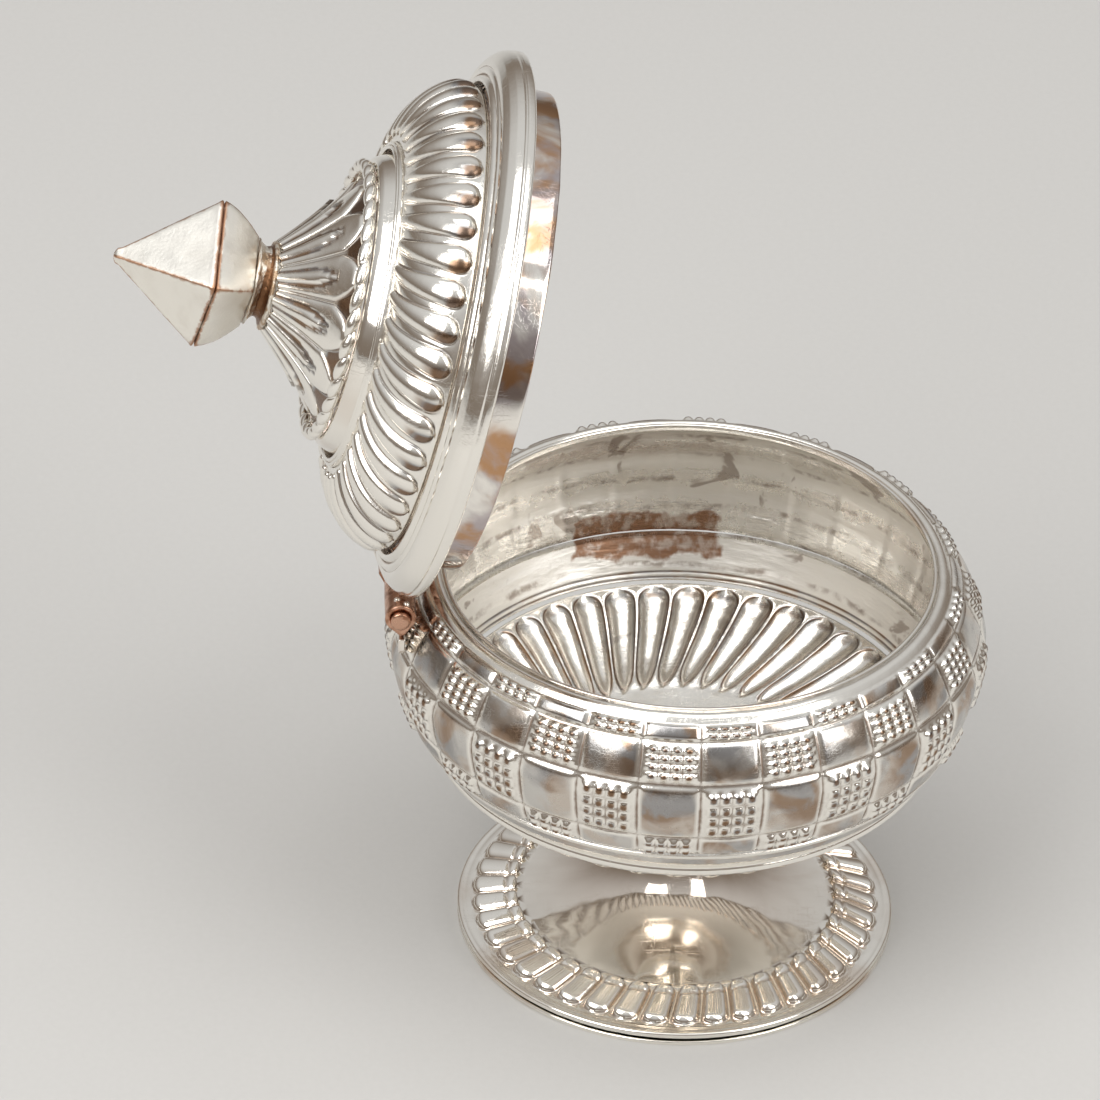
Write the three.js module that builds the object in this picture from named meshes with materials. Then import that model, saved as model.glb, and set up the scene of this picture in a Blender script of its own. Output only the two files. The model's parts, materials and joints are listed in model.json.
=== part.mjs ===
// A silver sindoor box: a round bowl on a spread foot, closed by a hinged dome lid with a pyramid finial.
// Millimetres, +Z up. The box is built round the axis of its foot, with the hinge at +Y,
// and shown with its lid swung open against the stop.
import * as THREE from "three";

// Bowl. Its widest radius and the height of its rim drive the rest.
const BELLY_RADIUS = 27.0;
const RIM_HEIGHT = 39.9;
const SHOULDER_WIDTH = 4.8;
const SHOULDER_DROP = 7.2;
const LOWER_TUCK = 3.7;
const LOWER_DROP = 9.9;
const FLOOR_DEPTH = 7.6;
const SHOULDER_FULLNESS = 1.35;
const LOWER_FULLNESS = 1.44;
const SHEET = 0.7;
const RIM_WIRE_WIDTH = 0.7;
const RIM_WIRE_DEPTH = 0.7;
const SEAM_BAND_HEIGHT = 3.2;
const SEAM_BAND_LAP = 0.9;
const SEAM_BAND_BEAD = 0.4;

// Woven chequer on the bowl
const TILES_AROUND = 30;
const TILE_RELIEF = 0.25;
const TILE_GROOVE = 0.45;
const SHOULDER_ROW = 1.0;
const UPPER_ROW = 4.6;
const BELLY_ROW = 6.0;

// Fluted floor
const FLUTES = 28;
const FLUTE_DEPTH = 0.8;
const FLUTE_INNER_RADIUS = 9.0;
const FLUTE_SWIRL = 6;
const FLUTE_MARGIN = 0.5;
const FLUTE_ROUNDING = 0.7;

// Foot
const FOOT_RADIUS = 20.3;
const FOOT_WIRE_WIDTH = 1.3;
const FOOT_WIRE_HEIGHT = 0.45;
const FOOT_SHEET = 0.6;
const FOOT_GADROONS = 41;
const FOOT_GADROON_RELIEF = 0.45;
const FOOT_CREASE = 0.3;
const FOOT_GADROON_SWIRL = 3;
const BORDER_WIDTH = 4.2;
const BORDER_RISE = 1.1;
const FOOT_EDGE_ROUNDING = 0.25;
const STEM_RADIUS = 3.3;
const COLLAR_RADIUS = 3.9;
const COLLAR_HEIGHT = 1.5;
const COLLAR_FLARE = 0.3;
const COLLAR_EDGE = 0.6;
const COLLAR_BORE = 2.1;

// Lid, measured up from the plane of its lower edge
const LID_OVERHANG = 2.6;
const LID_SHEET = 0.6;
const FLANGE_DEPTH = 2.98;
const FLANGE_RISE = 2.3;
const FLANGE_SHEET = 0.5;
const FLANGE_CLEARANCE = 0.45;
const EDGE_HEIGHT = 0.9;
const EDGE_ROUNDING = 0.3;
const MOULDING_HEIGHT = 3.5;
const MOULDING_WIDTH = 3.5;
const BAND_INSET = 0.8;
const DOME_HEIGHT = 9.5;
const DOME_WIDTH = 6.0;
const LID_GADROONS = 42;
const LID_GADROON_RELIEF = 0.55;
const LID_GADROON_LEAN = 3;
const LID_GADROON_HOOK = 6;
const LID_GADROON_TAPER = 0.35;
const STEP_WIDTH = 0.7;
const STEP_RISE = 0.65;
const STEP_ROUNDING = 0.25;
const PLAIN_BAND_WIDTH = 0.8;
const PLAIN_BAND_RISE = 1.8;
const ROPE_SIZE = 1.05;
const ROPE_LOBES = 60;
const PETALS = 12;
const PETAL_RELIEF = 0.45;
const CONE_TOP_RADIUS = 3.9;
const CONE_RISE = 6.3;
const NECK_RADIUS = 3.0;
const NECK_LENGTH = 1.5;
const NECK_FLARE = 0.4;
const NECK_DISC_OVERHANG = 0.1;
const FINIAL_FOOT_OVERHANG = 1.1;
const FINIAL_RADIUS = 6.75;
const FINIAL_LOWER_HEIGHT = 3.5;
const FINIAL_UPPER_HEIGHT = 8.5;
const FINIAL_TIP_RADIUS = 0.7;
const FINIAL_TIP_HEIGHT = 0.45;
const FINIAL_TURN = 22;

// Hinge
const BARREL_RADIUS = 1.4;
const BARREL_LENGTH = 18.0;
const LID_KNUCKLE_LENGTH = 6.0;
const PIN_RADIUS = 0.65;
const PIN_CLEARANCE = 0.08;
const RIVET_RADIUS = 1.0;
const RIVET_HEIGHT = 0.4;
const BOWL_TAIL = 0.7;
const BOWL_TAIL_ANGLE = 265;
const LID_TAIL = 0.85;
const LID_TAIL_ANGLE = 103;
const LEAF_THICKNESS = 0.6;
const LEAF_INSET = 0.45;
const LEAF_DROP = 0.9;
const LEAF_POINT = 1.1;
const LEAF_TIP_HEIGHT = 2.6;
const LID_LEAF_THICKNESS = 0.4;
const LID_LEAF_WIDTH = 9.0;
const LID_LEAF_STEP = 0.5;
const OPEN_ANGLE = 77;

// Fits
const SOLDER_GAP = 0.3;
const SEAT_GAP = 0.3;
const HINGE_GAP = 0.25;

// Facets
const ROUND = 36;
const INNER_ROUND = 32;
const SMALL_ROUND = 16;

const SILVER = { color: 0xdfd9cc, roughness: 0.2, metalness: 1.0 };
const POLISHED = { color: 0xe4dfd4, roughness: 0.08, metalness: 1.0 };
const MATT_SILVER = { color: 0xd8d2c2, roughness: 0.38, metalness: 1.0 };
const WARM_HINGE = { color: 0x9a6a4c, roughness: 0.35, metalness: 1.0 };

const openingRadius = BELLY_RADIUS - SHOULDER_WIDTH;
const bellyHeight = RIM_HEIGHT - SHOULDER_DROP;
const seamRadius = BELLY_RADIUS - LOWER_TUCK;
const seamHeight = bellyHeight - LOWER_DROP;
const floorHeight = seamHeight - FLOOR_DEPTH;
const stemTop = floorHeight - SHEET - COLLAR_HEIGHT - 2 * SOLDER_GAP;

const lidRadius = openingRadius + LID_OVERHANG;
const flangeRadius = openingRadius - FLANGE_CLEARANCE;
const lidPlane = RIM_HEIGHT + SEAT_GAP;
const hingeRadius = lidRadius + BARREL_RADIUS + HINGE_GAP;
const hingeHeight = RIM_HEIGHT;

const radians = THREE.MathUtils.degToRad;
const lerp = THREE.MathUtils.lerp;
const smooth = (x) => THREE.MathUtils.smoothstep(x, 0, 1);
const at = (radius, height) => new THREE.Vector2(radius, height);

function mesh(name, geometry, finish) {
  const made = new THREE.Mesh(geometry, new THREE.MeshStandardMaterial(finish));
  made.name = name;
  return made;
}

// A closed profile turned round Z. It runs up its outer side and down its inner side.
function turned(profile, segments = ROUND) {
  const points = [...profile, profile[0].clone()];
  return new THREE.LatheGeometry(points, segments).rotateX(Math.PI / 2);
}

// A profile whose two ends lie on Z, turned round it.
function turnedSolid(profile, segments = ROUND) {
  return new THREE.LatheGeometry(profile, segments).rotateX(Math.PI / 2);
}

// The profile moved square to itself, to its left hand as it runs.
function offsetProfile(profile, distance) {
  return profile.map((point, i) => {
    const before = profile[Math.max(i - 1, 0)];
    const after = profile[Math.min(i + 1, profile.length - 1)];
    const along = after.clone().sub(before).normalize();
    return at(point.x - along.y * distance, point.y + along.x * distance);
  });
}

// Sheet metal turned round Z: the outer face as drawn, and a plainer inner face one thickness in.
function turnedSheet(profile, thickness, segments = ROUND) {
  const last = profile.length - 1;
  const inner = offsetProfile(profile, thickness).filter((_, i) => i % 2 === 0 || i === last);
  return turned([...profile, ...inner.reverse()], segments);
}

// One closed loop of points round Z. The place of a point round the loop, in turns, joins it to the next loop.
function loop(count, pointAt) {
  const points = [];
  const turns = [];
  for (let i = 0; i < count; i++) {
    turns.push(i / count);
    points.push(pointAt(i / count, i));
  }
  return { points, turns };
}

function plainLoop(count, radius, height) {
  return loop(count, (turn) => polar(radius, turn * 360, height));
}

function polar(radius, degrees, height) {
  const angle = radians(degrees);
  return new THREE.Vector3(radius * Math.cos(angle), radius * Math.sin(angle), height);
}

// A skin stretched over a row of loops, which may have different numbers of points.
// The loops run up the outside of the piece and back down its inside.
// The last loop joins the first when the skin closes on itself, and otherwise both ends are single points.
function skin(loops, closes = true) {
  const positions = [];
  const starts = loops.map((each) => {
    const start = positions.length / 3;
    each.points.forEach((point) => positions.push(point.x, point.y, point.z));
    return start;
  });
  const triangles = [];
  const joins = closes ? loops.length : loops.length - 1;
  for (let k = 0; k < joins; k++) {
    const next = (k + 1) % loops.length;
    stitch(loops[k], starts[k], loops[next], starts[next], triangles);
  }
  const geometry = new THREE.BufferGeometry();
  geometry.setAttribute("position", new THREE.Float32BufferAttribute(positions, 3));
  geometry.setIndex(triangles);
  geometry.computeVertexNormals();
  return geometry;
}

function stitch(a, startA, b, startB, triangles) {
  const countA = a.points.length;
  const countB = b.points.length;
  const stepsA = countA > 1 ? countA : 0;
  const stepsB = countB > 1 ? countB : 0;
  const turnOf = (turns, i) => (i < turns.length ? turns[i] : turns[i - turns.length] + 1);
  let i = 0;
  let j = 0;
  while (i < stepsA || j < stepsB) {
    const advanceA = i < stepsA && (j >= stepsB || turnOf(a.turns, i + 1) <= turnOf(b.turns, j + 1));
    const cornerA = startA + (i % countA);
    const cornerB = startB + (j % countB);
    if (advanceA) {
      triangles.push(cornerA, startA + ((i + 1) % countA), cornerB);
      i++;
    } else {
      triangles.push(cornerA, startB + ((j + 1) % countB), cornerB);
      j++;
    }
  }
}

// A height on the outer face of the bowl gives its radius.
function bowlRadius(height) {
  const top = openingRadius + RIM_WIRE_WIDTH;
  if (height >= bellyHeight) {
    const share = Math.min((height - bellyHeight) / (RIM_HEIGHT - bellyHeight), 1);
    const swell = (1 - share ** SHOULDER_FULLNESS) ** (1 / SHOULDER_FULLNESS);
    return lerp(top, BELLY_RADIUS, swell);
  }
  const share = Math.min((bellyHeight - height) / (bellyHeight - seamHeight), 1);
  const swell = (1 - share ** LOWER_FULLNESS) ** (1 / LOWER_FULLNESS);
  return lerp(seamRadius, BELLY_RADIUS, swell);
}

function bowlProfile(low, high, steps) {
  const points = [];
  for (let i = 0; i <= steps; i++) {
    const height = lerp(low, high, i / steps);
    points.push(at(bowlRadius(height), height));
  }
  return points;
}

// The wall ends just outside the rim wire, and just above the seam band.
const wallTop = RIM_HEIGHT - RIM_WIRE_DEPTH / 2;
const wallBottom = seamHeight + SEAM_BAND_HEIGHT;

// The heights where one row of squares meets the next, from the top down.
const rowEdges = [
  wallTop,
  RIM_HEIGHT - SHOULDER_ROW,
  RIM_HEIGHT - SHOULDER_ROW - UPPER_ROW,
  RIM_HEIGHT - SHOULDER_ROW - UPPER_ROW - BELLY_ROW,
  wallBottom,
];

// The wall's outer face: squares of sheet that stand up from the lines between them, as in basket work.
function chequerLoops() {
  const tile = 1 / TILES_AROUND;
  const groove = TILE_GROOVE / (2 * Math.PI * BELLY_RADIUS);
  const places = [];
  for (let i = 0; i < TILES_AROUND; i++) {
    places.push({ turn: (i + 0.5) * tile, raised: 0 });
    places.push({ turn: (i + 0.5) * tile + groove, raised: 1 });
    places.push({ turn: (i + 1.5) * tile - groove, raised: 1 });
  }
  const ring = (height, raised) => {
    const radius = bowlRadius(height);
    const points = places.map((place) => {
      const lift = TILE_RELIEF * raised * place.raised;
      return polar(radius + lift, place.turn * 360 + 90, height);
    });
    return { points, turns: places.map((place) => place.turn) };
  };
  const rings = [ring(rowEdges[0], 0)];
  const insideRows = [[], [0.1, 0.5, 0.9], [0.1, 0.5, 0.92], [0.5]];
  insideRows.forEach((shares, row) => {
    shares.forEach((share) => rings.push(ring(lerp(rowEdges[row], rowEdges[row + 1], share), 1)));
    rings.push(ring(rowEdges[row + 1], 0));
  });
  return rings.reverse();
}

function bowlWall() {
  const outer = chequerLoops();
  const inside = offsetProfile(bowlProfile(wallBottom, wallTop, 5), SHEET).reverse();
  const turnShift = 0.5 / TILES_AROUND;
  const inner = inside.map((point) => {
    const made = loop(INNER_ROUND, (turn) => polar(point.x, (turn + turnShift) * 360 + 90, point.y));
    made.turns = made.turns.map((turn) => turn + turnShift);
    return made;
  });
  return skin([...outer, ...inner]);
}

// The plain band that covers the joint of wall and floor.
function seamBand() {
  const low = seamHeight - SEAM_BAND_LAP;
  const high = wallBottom - SOLDER_GAP;
  const middle = lerp(seamHeight, high, SEAM_BAND_BEAD);
  const bend = lerp(seamHeight, high, 0.28);
  const outer = [
    at(seamRadius, low),
    at(seamRadius + SEAM_BAND_BEAD, low + SEAM_BAND_BEAD),
    at(bowlRadius(middle) + 0.25 * SEAM_BAND_BEAD, middle),
    at(bowlRadius(high), high),
  ];
  const inner = [
    at(bowlRadius(high) - SHEET, high),
    at(bowlRadius(bend) - SHEET, bend),
    at(seamRadius - SHEET, low),
  ];
  return turned([...outer, ...inner]);
}

function rimWire() {
  const inner = openingRadius;
  const outer = openingRadius + RIM_WIRE_WIDTH - SOLDER_GAP;
  const low = RIM_HEIGHT - RIM_WIRE_DEPTH;
  const round = RIM_WIRE_DEPTH / 4;
  return turned([
    at(outer, low),
    at(outer, RIM_HEIGHT - round),
    at((inner + outer) / 2, RIM_HEIGHT),
    at(inner, RIM_HEIGHT - round),
    at(inner, low),
  ]);
}

// How far down a flute is pressed, from 0 on the ridge beside it to 1 along its middle.
function fluteShare(phase) {
  return Math.sin(Math.PI * phase) ** 0.75;
}

// The floor of the bowl: a shallow dish of thin sheet with flutes pressed down into it all round.
function flutedFloor() {
  const edge = seamRadius - SHEET - SOLDER_GAP;
  const edgeHeight = seamHeight - 1.0;
  const dish = (radius) => {
    const share = radius / edge;
    return lerp(floorHeight, edgeHeight, 0.25 * share + 0.75 * share ** 2);
  };
  const fluteLoop = (radius, depth, drop, facets) => loop(FLUTES * facets, (turn, i) => {
    const inward = (edge - radius) / (edge - FLUTE_INNER_RADIUS);
    const pressed = depth * FLUTE_DEPTH * fluteShare((i % facets) / facets);
    return polar(radius, turn * 360 + FLUTE_SWIRL * inward, dish(radius) - pressed - drop);
  });
  const outerEnd = edge - FLUTE_MARGIN;
  const ends = [
    [outerEnd, 0],
    [outerEnd - FLUTE_ROUNDING, 0.85],
    [lerp(FLUTE_INNER_RADIUS, edge, 0.62), 1],
    [FLUTE_INNER_RADIUS + FLUTE_ROUNDING, 0.75],
  ];
  const face = (drop, facets) => [
    plainLoop(ROUND, edge, dish(edge) - drop),
    ...ends.map(([radius, depth]) => fluteLoop(radius, depth, drop, facets)),
    plainLoop(FLUTES, FLUTE_INNER_RADIUS, dish(FLUTE_INNER_RADIUS) - drop),
    plainLoop(FLUTES / 2, FLUTE_INNER_RADIUS / 2, dish(FLUTE_INNER_RADIUS / 2) - drop),
    { points: [new THREE.Vector3(0, 0, dish(0) - drop)], turns: [0] },
  ];
  return skin([...face(SHEET, 2).reverse(), ...face(0, 4)], false);
}

// The foot: one spun sheet, flat at its edge, gadrooned on its border and swept up to the stem.
function footSheet() {
  const low = FOOT_WIRE_HEIGHT + SOLDER_GAP;
  const top = low + FOOT_SHEET;
  const flatEdge = FOOT_RADIUS - FOOT_WIRE_WIDTH;
  const borderEdge = flatEdge - BORDER_WIDTH;
  const borderTop = top + BORDER_RISE;
  const columns = FOOT_GADROONS * 3;
  const relief = [0, 1, 1];
  const border = (share, lift) => loop(columns, (turn, i) => {
    const radius = lerp(flatEdge, borderEdge, share);
    const height = lerp(top, borderTop, share) + FOOT_GADROON_RELIEF * lift * relief[i % 3];
    return polar(radius, turn * 360 + FOOT_GADROON_SWIRL * share, height);
  });
  // The sweep from the border to the stem, as a share of the way in and of the way up.
  const sweep = [[0, 0], [0.25, 0.06], [0.48, 0.15], [0.67, 0.28], [0.82, 0.47], [0.93, 0.72], [1, 1]];
  const outer = sweep.map(([inward, upward]) => at(
    lerp(borderEdge - FOOT_EDGE_ROUNDING, STEM_RADIUS, inward),
    lerp(borderTop, stemTop, upward),
  ));
  const inner = offsetProfile(outer, FOOT_SHEET).filter((_, i) => i !== 2 && i !== 5).reverse();
  inner[0].y = stemTop;
  const upper = [
    plainLoop(ROUND, FOOT_RADIUS, low),
    plainLoop(ROUND, FOOT_RADIUS, top - FOOT_EDGE_ROUNDING),
    plainLoop(ROUND, FOOT_RADIUS - FOOT_EDGE_ROUNDING, top),
    border(0, 0),
    border(0.14, 1),
    border(0.54, 1),
    border(0.63, 1 - FOOT_CREASE),
    border(0.88, 0.85),
    border(1, 0),
  ];
  const outerLoops = outer.map((point) => plainLoop(INNER_ROUND, point.x, point.y));
  const innerLoops = inner.map((point) => plainLoop(INNER_ROUND * 2 / 3, point.x, point.y));
  const under = [plainLoop(INNER_ROUND, flatEdge, low)];
  return skin([...upper, ...outerLoops, ...innerLoops, ...under]);
}

// The flat wire that stiffens the edge of the foot and stands on the table.
function footWire() {
  return turned([
    at(FOOT_RADIUS, 0),
    at(FOOT_RADIUS, FOOT_WIRE_HEIGHT),
    at(FOOT_RADIUS - FOOT_WIRE_WIDTH, FOOT_WIRE_HEIGHT),
    at(FOOT_RADIUS - FOOT_WIRE_WIDTH, 0),
  ]);
}

// The collar between the stem and the floor of the bowl.
function stemCollar() {
  const low = stemTop + SOLDER_GAP;
  const high = floorHeight - SHEET - SOLDER_GAP;
  const middle = (low + high) / 2;
  return turned([
    at(STEM_RADIUS, low),
    at(COLLAR_RADIUS, middle - COLLAR_EDGE / 2),
    at(COLLAR_RADIUS, middle + COLLAR_EDGE / 2),
    at(COLLAR_RADIUS - COLLAR_EDGE, high + COLLAR_FLARE),
    at(COLLAR_BORE, high),
    at(COLLAR_BORE, low),
  ], SMALL_ROUND);
}

// A hinge tube with a pointed tail, drawn across the hinge. The tail runs from the tube to tailAngle.
function knuckle(length, tailLength, tailAngle) {
  const shape = new THREE.Shape();
  const spread = Math.acos(BARREL_RADIUS / tailLength);
  const angle = radians(tailAngle);
  const from = angle + spread;
  const to = angle + 2 * Math.PI - spread;
  const arcSteps = 16;
  for (let i = 0; i <= arcSteps; i++) {
    const a = lerp(from, to, i / arcSteps);
    const x = BARREL_RADIUS * Math.cos(a);
    const y = BARREL_RADIUS * Math.sin(a);
    if (i === 0) shape.moveTo(x, y);
    else shape.lineTo(x, y);
  }
  shape.lineTo(tailLength * Math.cos(angle), tailLength * Math.sin(angle));
  shape.closePath();
  const bore = new THREE.Path();
  bore.absarc(0, 0, PIN_RADIUS + PIN_CLEARANCE, 0, 2 * Math.PI, true);
  shape.holes.push(bore);
  const made = new THREE.ExtrudeGeometry(shape, { depth: length, bevelEnabled: false, curveSegments: 8 });
  // Drawn in Y and Z, and extruded along X.
  return made.applyMatrix4(new THREE.Matrix4().set(0, 0, 1, 0, 1, 0, 0, 0, 0, 1, 0, 0, 0, 0, 0, 1));
}

const sideKnuckleLength = (BARREL_LENGTH - LID_KNUCKLE_LENGTH) / 2 - SOLDER_GAP;

function bowlKnuckle(side) {
  const start = side < 0 ? -BARREL_LENGTH / 2 : LID_KNUCKLE_LENGTH / 2 + SOLDER_GAP;
  const made = knuckle(sideKnuckleLength, BARREL_RADIUS + BOWL_TAIL, BOWL_TAIL_ANGLE);
  return made.translate(start, hingeRadius, hingeHeight);
}

// The flat leaf under the tubes, its lower edge cut to the swell of the bowl, with a point at each end.
function bowlLeaf() {
  const inner = hingeRadius - LEAF_INSET;
  const top = hingeHeight - BARREL_RADIUS - LEAF_DROP;
  const clear = TILE_RELIEF + SOLDER_GAP;
  const half = BARREL_LENGTH / 2;
  const tip = bellyHeight + LEAF_TIP_HEIGHT;
  const lowEdge = (x) => {
    const reach = Math.hypot(inner, x) - clear;
    for (let height = tip; height < top; height += 0.05) {
      if (bowlRadius(height) < reach) return height;
    }
    return top;
  };
  const shape = new THREE.Shape();
  shape.moveTo(-half, top);
  shape.lineTo(-half, tip + LEAF_POINT);
  shape.lineTo(-half + LEAF_POINT, tip);
  const steps = 8;
  for (let i = 1; i < steps; i++) {
    const x = lerp(-half + LEAF_POINT, half - LEAF_POINT, i / steps);
    shape.lineTo(x, Math.min(lowEdge(x), top - LEAF_POINT / 2));
  }
  shape.lineTo(half - LEAF_POINT, tip);
  shape.lineTo(half, tip + LEAF_POINT);
  shape.lineTo(half, top);
  shape.closePath();
  const made = new THREE.ExtrudeGeometry(shape, { depth: LEAF_THICKNESS, bevelEnabled: false });
  return made.rotateX(Math.PI / 2).translate(0, inner + LEAF_THICKNESS, 0);
}

// The pin through the tubes, with a riveted head at each end.
function hingePin() {
  const half = BARREL_LENGTH / 2 + SOLDER_GAP;
  const profile = [
    at(0, -half - RIVET_HEIGHT),
    at(RIVET_RADIUS * 0.6, -half - RIVET_HEIGHT),
    at(RIVET_RADIUS, -half - RIVET_HEIGHT * 0.3),
    at(RIVET_RADIUS, -half),
    at(PIN_RADIUS, -half),
    at(PIN_RADIUS, half),
    at(RIVET_RADIUS, half),
    at(RIVET_RADIUS, half + RIVET_HEIGHT * 0.3),
    at(RIVET_RADIUS * 0.6, half + RIVET_HEIGHT),
    at(0, half + RIVET_HEIGHT),
  ];
  return turnedSolid(profile, 12).rotateY(Math.PI / 2).translate(0, hingeRadius, hingeHeight);
}

// The tube and leaf on the lid are drawn from the hinge axis, with the lid shut.
function lidKnuckle() {
  const made = knuckle(LID_KNUCKLE_LENGTH, BARREL_RADIUS + LID_TAIL, LID_TAIL_ANGLE);
  return made.translate(-LID_KNUCKLE_LENGTH / 2, 0, 0);
}

function lidLeaf() {
  const half = LID_LEAF_WIDTH / 2;
  const low = BARREL_RADIUS + PIN_CLEARANCE;
  const shape = new THREE.Shape();
  shape.moveTo(-half, low);
  shape.lineTo(half, low);
  shape.lineTo(half, low + LID_LEAF_STEP);
  shape.lineTo(0, low + 3 * LID_LEAF_STEP);
  shape.lineTo(-half, low + LID_LEAF_STEP);
  shape.closePath();
  const outer = lidRadius - EDGE_ROUNDING + SOLDER_GAP + LID_LEAF_THICKNESS - hingeRadius;
  const made = new THREE.ExtrudeGeometry(shape, { depth: LID_LEAF_THICKNESS, bevelEnabled: false });
  return made.rotateX(Math.PI / 2).translate(0, outer, 0);
}

// The thin collar that drops into the bowl when the lid is shut.
function lidFlange() {
  return turned([
    at(flangeRadius, -FLANGE_DEPTH),
    at(flangeRadius, FLANGE_RISE),
    at(flangeRadius - FLANGE_SHEET, FLANGE_RISE),
    at(flangeRadius - FLANGE_SHEET, -FLANGE_DEPTH),
  ]);
}

// The flat ring that rests on the rim of the bowl.
function seatRing() {
  const outer = lidRadius - LID_SHEET - SOLDER_GAP;
  const inner = flangeRadius + SOLDER_GAP;
  return turned([at(outer, 0), at(outer, LID_SHEET), at(inner, LID_SHEET), at(inner, 0)]);
}

// The moulded rim: an upright edge, a fine groove, a swelling band and two fine ridges. Its inner side is plain.
function rimBand() {
  const edge = lidRadius;
  const end = edge - MOULDING_WIDTH;
  const top = MOULDING_HEIGHT;
  return turned([
    at(edge, 0),
    at(edge, EDGE_HEIGHT),
    at(edge - EDGE_ROUNDING, EDGE_HEIGHT + EDGE_ROUNDING),
    at(edge - 2 * EDGE_ROUNDING, EDGE_HEIGHT + 0.9 * EDGE_ROUNDING),
    at(edge - BAND_INSET, top * 0.48),
    at(edge - 2 * BAND_INSET, top * 0.75),
    at(lerp(edge, end, 0.68), top * 0.92),
    at(lerp(edge, end, 0.8), top * 0.86),
    at(lerp(edge, end, 0.9), top),
    at(end, top * 0.96),
    at(end, top * 0.96 - LID_SHEET),
    at(edge - 2 * BAND_INSET - LID_SHEET / 2, top * 0.75 - LID_SHEET),
    at(edge - LID_SHEET, EDGE_HEIGHT),
    at(edge - LID_SHEET, 0),
  ]);
}

const domeRadius = lidRadius - MOULDING_WIDTH - SOLDER_GAP;
const domeTopRadius = domeRadius - DOME_WIDTH;

// The dome, with long ribs raised on it that lean, taper and hook over as they climb.
function gadroonDome() {
  const foot = MOULDING_HEIGHT - 0.3;
  const base = (share) => {
    const angle = share * Math.PI / 2;
    const bulge = Math.cos(angle) ** 1.25;
    return at(lerp(domeTopRadius, domeRadius, bulge), lerp(foot + 0.5, DOME_HEIGHT, Math.sin(angle)));
  };
  const columns = LID_GADROONS * 3;
  const relief = [0, 1, 1];
  const side = [0, 1, -1];
  const rib = (share, lift) => loop(columns, (turn, i) => {
    const raised = LID_GADROON_RELIEF * lift * relief[i % 3];
    const angle = share * Math.PI / 2;
    const point = base(share);
    const lean = LID_GADROON_LEAN * share + LID_GADROON_HOOK * share ** 3;
    const taper = LID_GADROON_TAPER * share * side[i % 3];
    const around = turn * 360 + lean + (taper * 360) / columns;
    return polar(point.x + raised * Math.cos(angle), around, point.y + raised * Math.sin(angle));
  });
  const outer = [
    plainLoop(ROUND, domeRadius, foot),
    rib(0, 0),
    rib(0.1, 0.8),
    rib(0.36, 1),
    rib(0.66, 0.85),
    rib(0.84, 0.6),
    rib(0.93, 0),
    plainLoop(ROUND, domeTopRadius, DOME_HEIGHT),
  ];
  const inner = [1, 0.66, 0.36, 0].map((share) => {
    const point = base(share);
    const angle = share * Math.PI / 2;
    return plainLoop(INNER_ROUND, point.x - LID_SHEET * Math.cos(angle), point.y - LID_SHEET * Math.sin(angle));
  });
  inner.push(plainLoop(INNER_ROUND, domeRadius - LID_SHEET, foot));
  return skin([...outer, ...inner]);
}

const stepRadius = domeTopRadius - SOLDER_GAP;

// The small ring that covers the joint above the dome.
function stepRing() {
  const low = DOME_HEIGHT - LID_SHEET;
  const inner = stepRadius - STEP_WIDTH;
  return turned([
    at(stepRadius, low),
    at(stepRadius, DOME_HEIGHT + STEP_RISE - STEP_ROUNDING),
    at(stepRadius - STEP_WIDTH / 2, DOME_HEIGHT + STEP_RISE),
    at(inner, DOME_HEIGHT + STEP_RISE - STEP_ROUNDING),
    at(inner, low),
  ], INNER_ROUND);
}

const plainBandRadius = stepRadius - STEP_WIDTH - SOLDER_GAP;
const ropeRadius = plainBandRadius - PLAIN_BAND_WIDTH - SOLDER_GAP - ROPE_SIZE / 2;
const ropeHeight = DOME_HEIGHT + PLAIN_BAND_RISE + ROPE_SIZE / 2;

// The plain bright band, hollowed a little as it rises.
function plainBand() {
  const width = PLAIN_BAND_WIDTH;
  return turnedSheet([
    at(plainBandRadius, DOME_HEIGHT),
    at(plainBandRadius - width * 0.3, DOME_HEIGHT + PLAIN_BAND_RISE * 0.35),
    at(plainBandRadius - width * 0.65, DOME_HEIGHT + PLAIN_BAND_RISE * 0.72),
    at(plainBandRadius - width, DOME_HEIGHT + PLAIN_BAND_RISE),
  ], LID_SHEET, INNER_ROUND);
}

// Three wires twisted into a rope and bent to a ring. Two steps make each lobe.
function ropeWire() {
  const columns = ROPE_LOBES * 2;
  const corners = 3;
  const around = [];
  for (let i = 0; i < columns; i++) {
    const section = [];
    for (let k = 0; k < corners; k++) {
      const twist = ((k + i * 0.5) / corners) * 2 * Math.PI;
      const outward = (ROPE_SIZE / 2) * Math.cos(twist);
      const upward = (ROPE_SIZE / 2) * Math.sin(twist);
      section.push(polar(ropeRadius + outward, (i / columns) * 360, ropeHeight + upward));
    }
    around.push(section);
  }
  return twistedRing(around, corners, ROPE_LOBES);
}

// Sections joined corner to corner round the ring. The last meets the first some corners on.
function twistedRing(around, corners, shift) {
  const positions = around.flat().flatMap((point) => [point.x, point.y, point.z]);
  const index = (i, k) => {
    const past = i >= around.length;
    const corner = (k + (past ? shift : 0)) % corners;
    return (i % around.length) * corners + corner;
  };
  const triangles = [];
  for (let i = 0; i < around.length; i++) {
    for (let k = 0; k < corners; k++) {
      triangles.push(index(i, k), index(i + 1, k), index(i, k + 1));
      triangles.push(index(i + 1, k), index(i + 1, k + 1), index(i, k + 1));
    }
  }
  const geometry = new THREE.BufferGeometry();
  geometry.setAttribute("position", new THREE.Float32BufferAttribute(positions, 3));
  geometry.setIndex(triangles);
  geometry.computeVertexNormals();
  return geometry;
}

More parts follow.
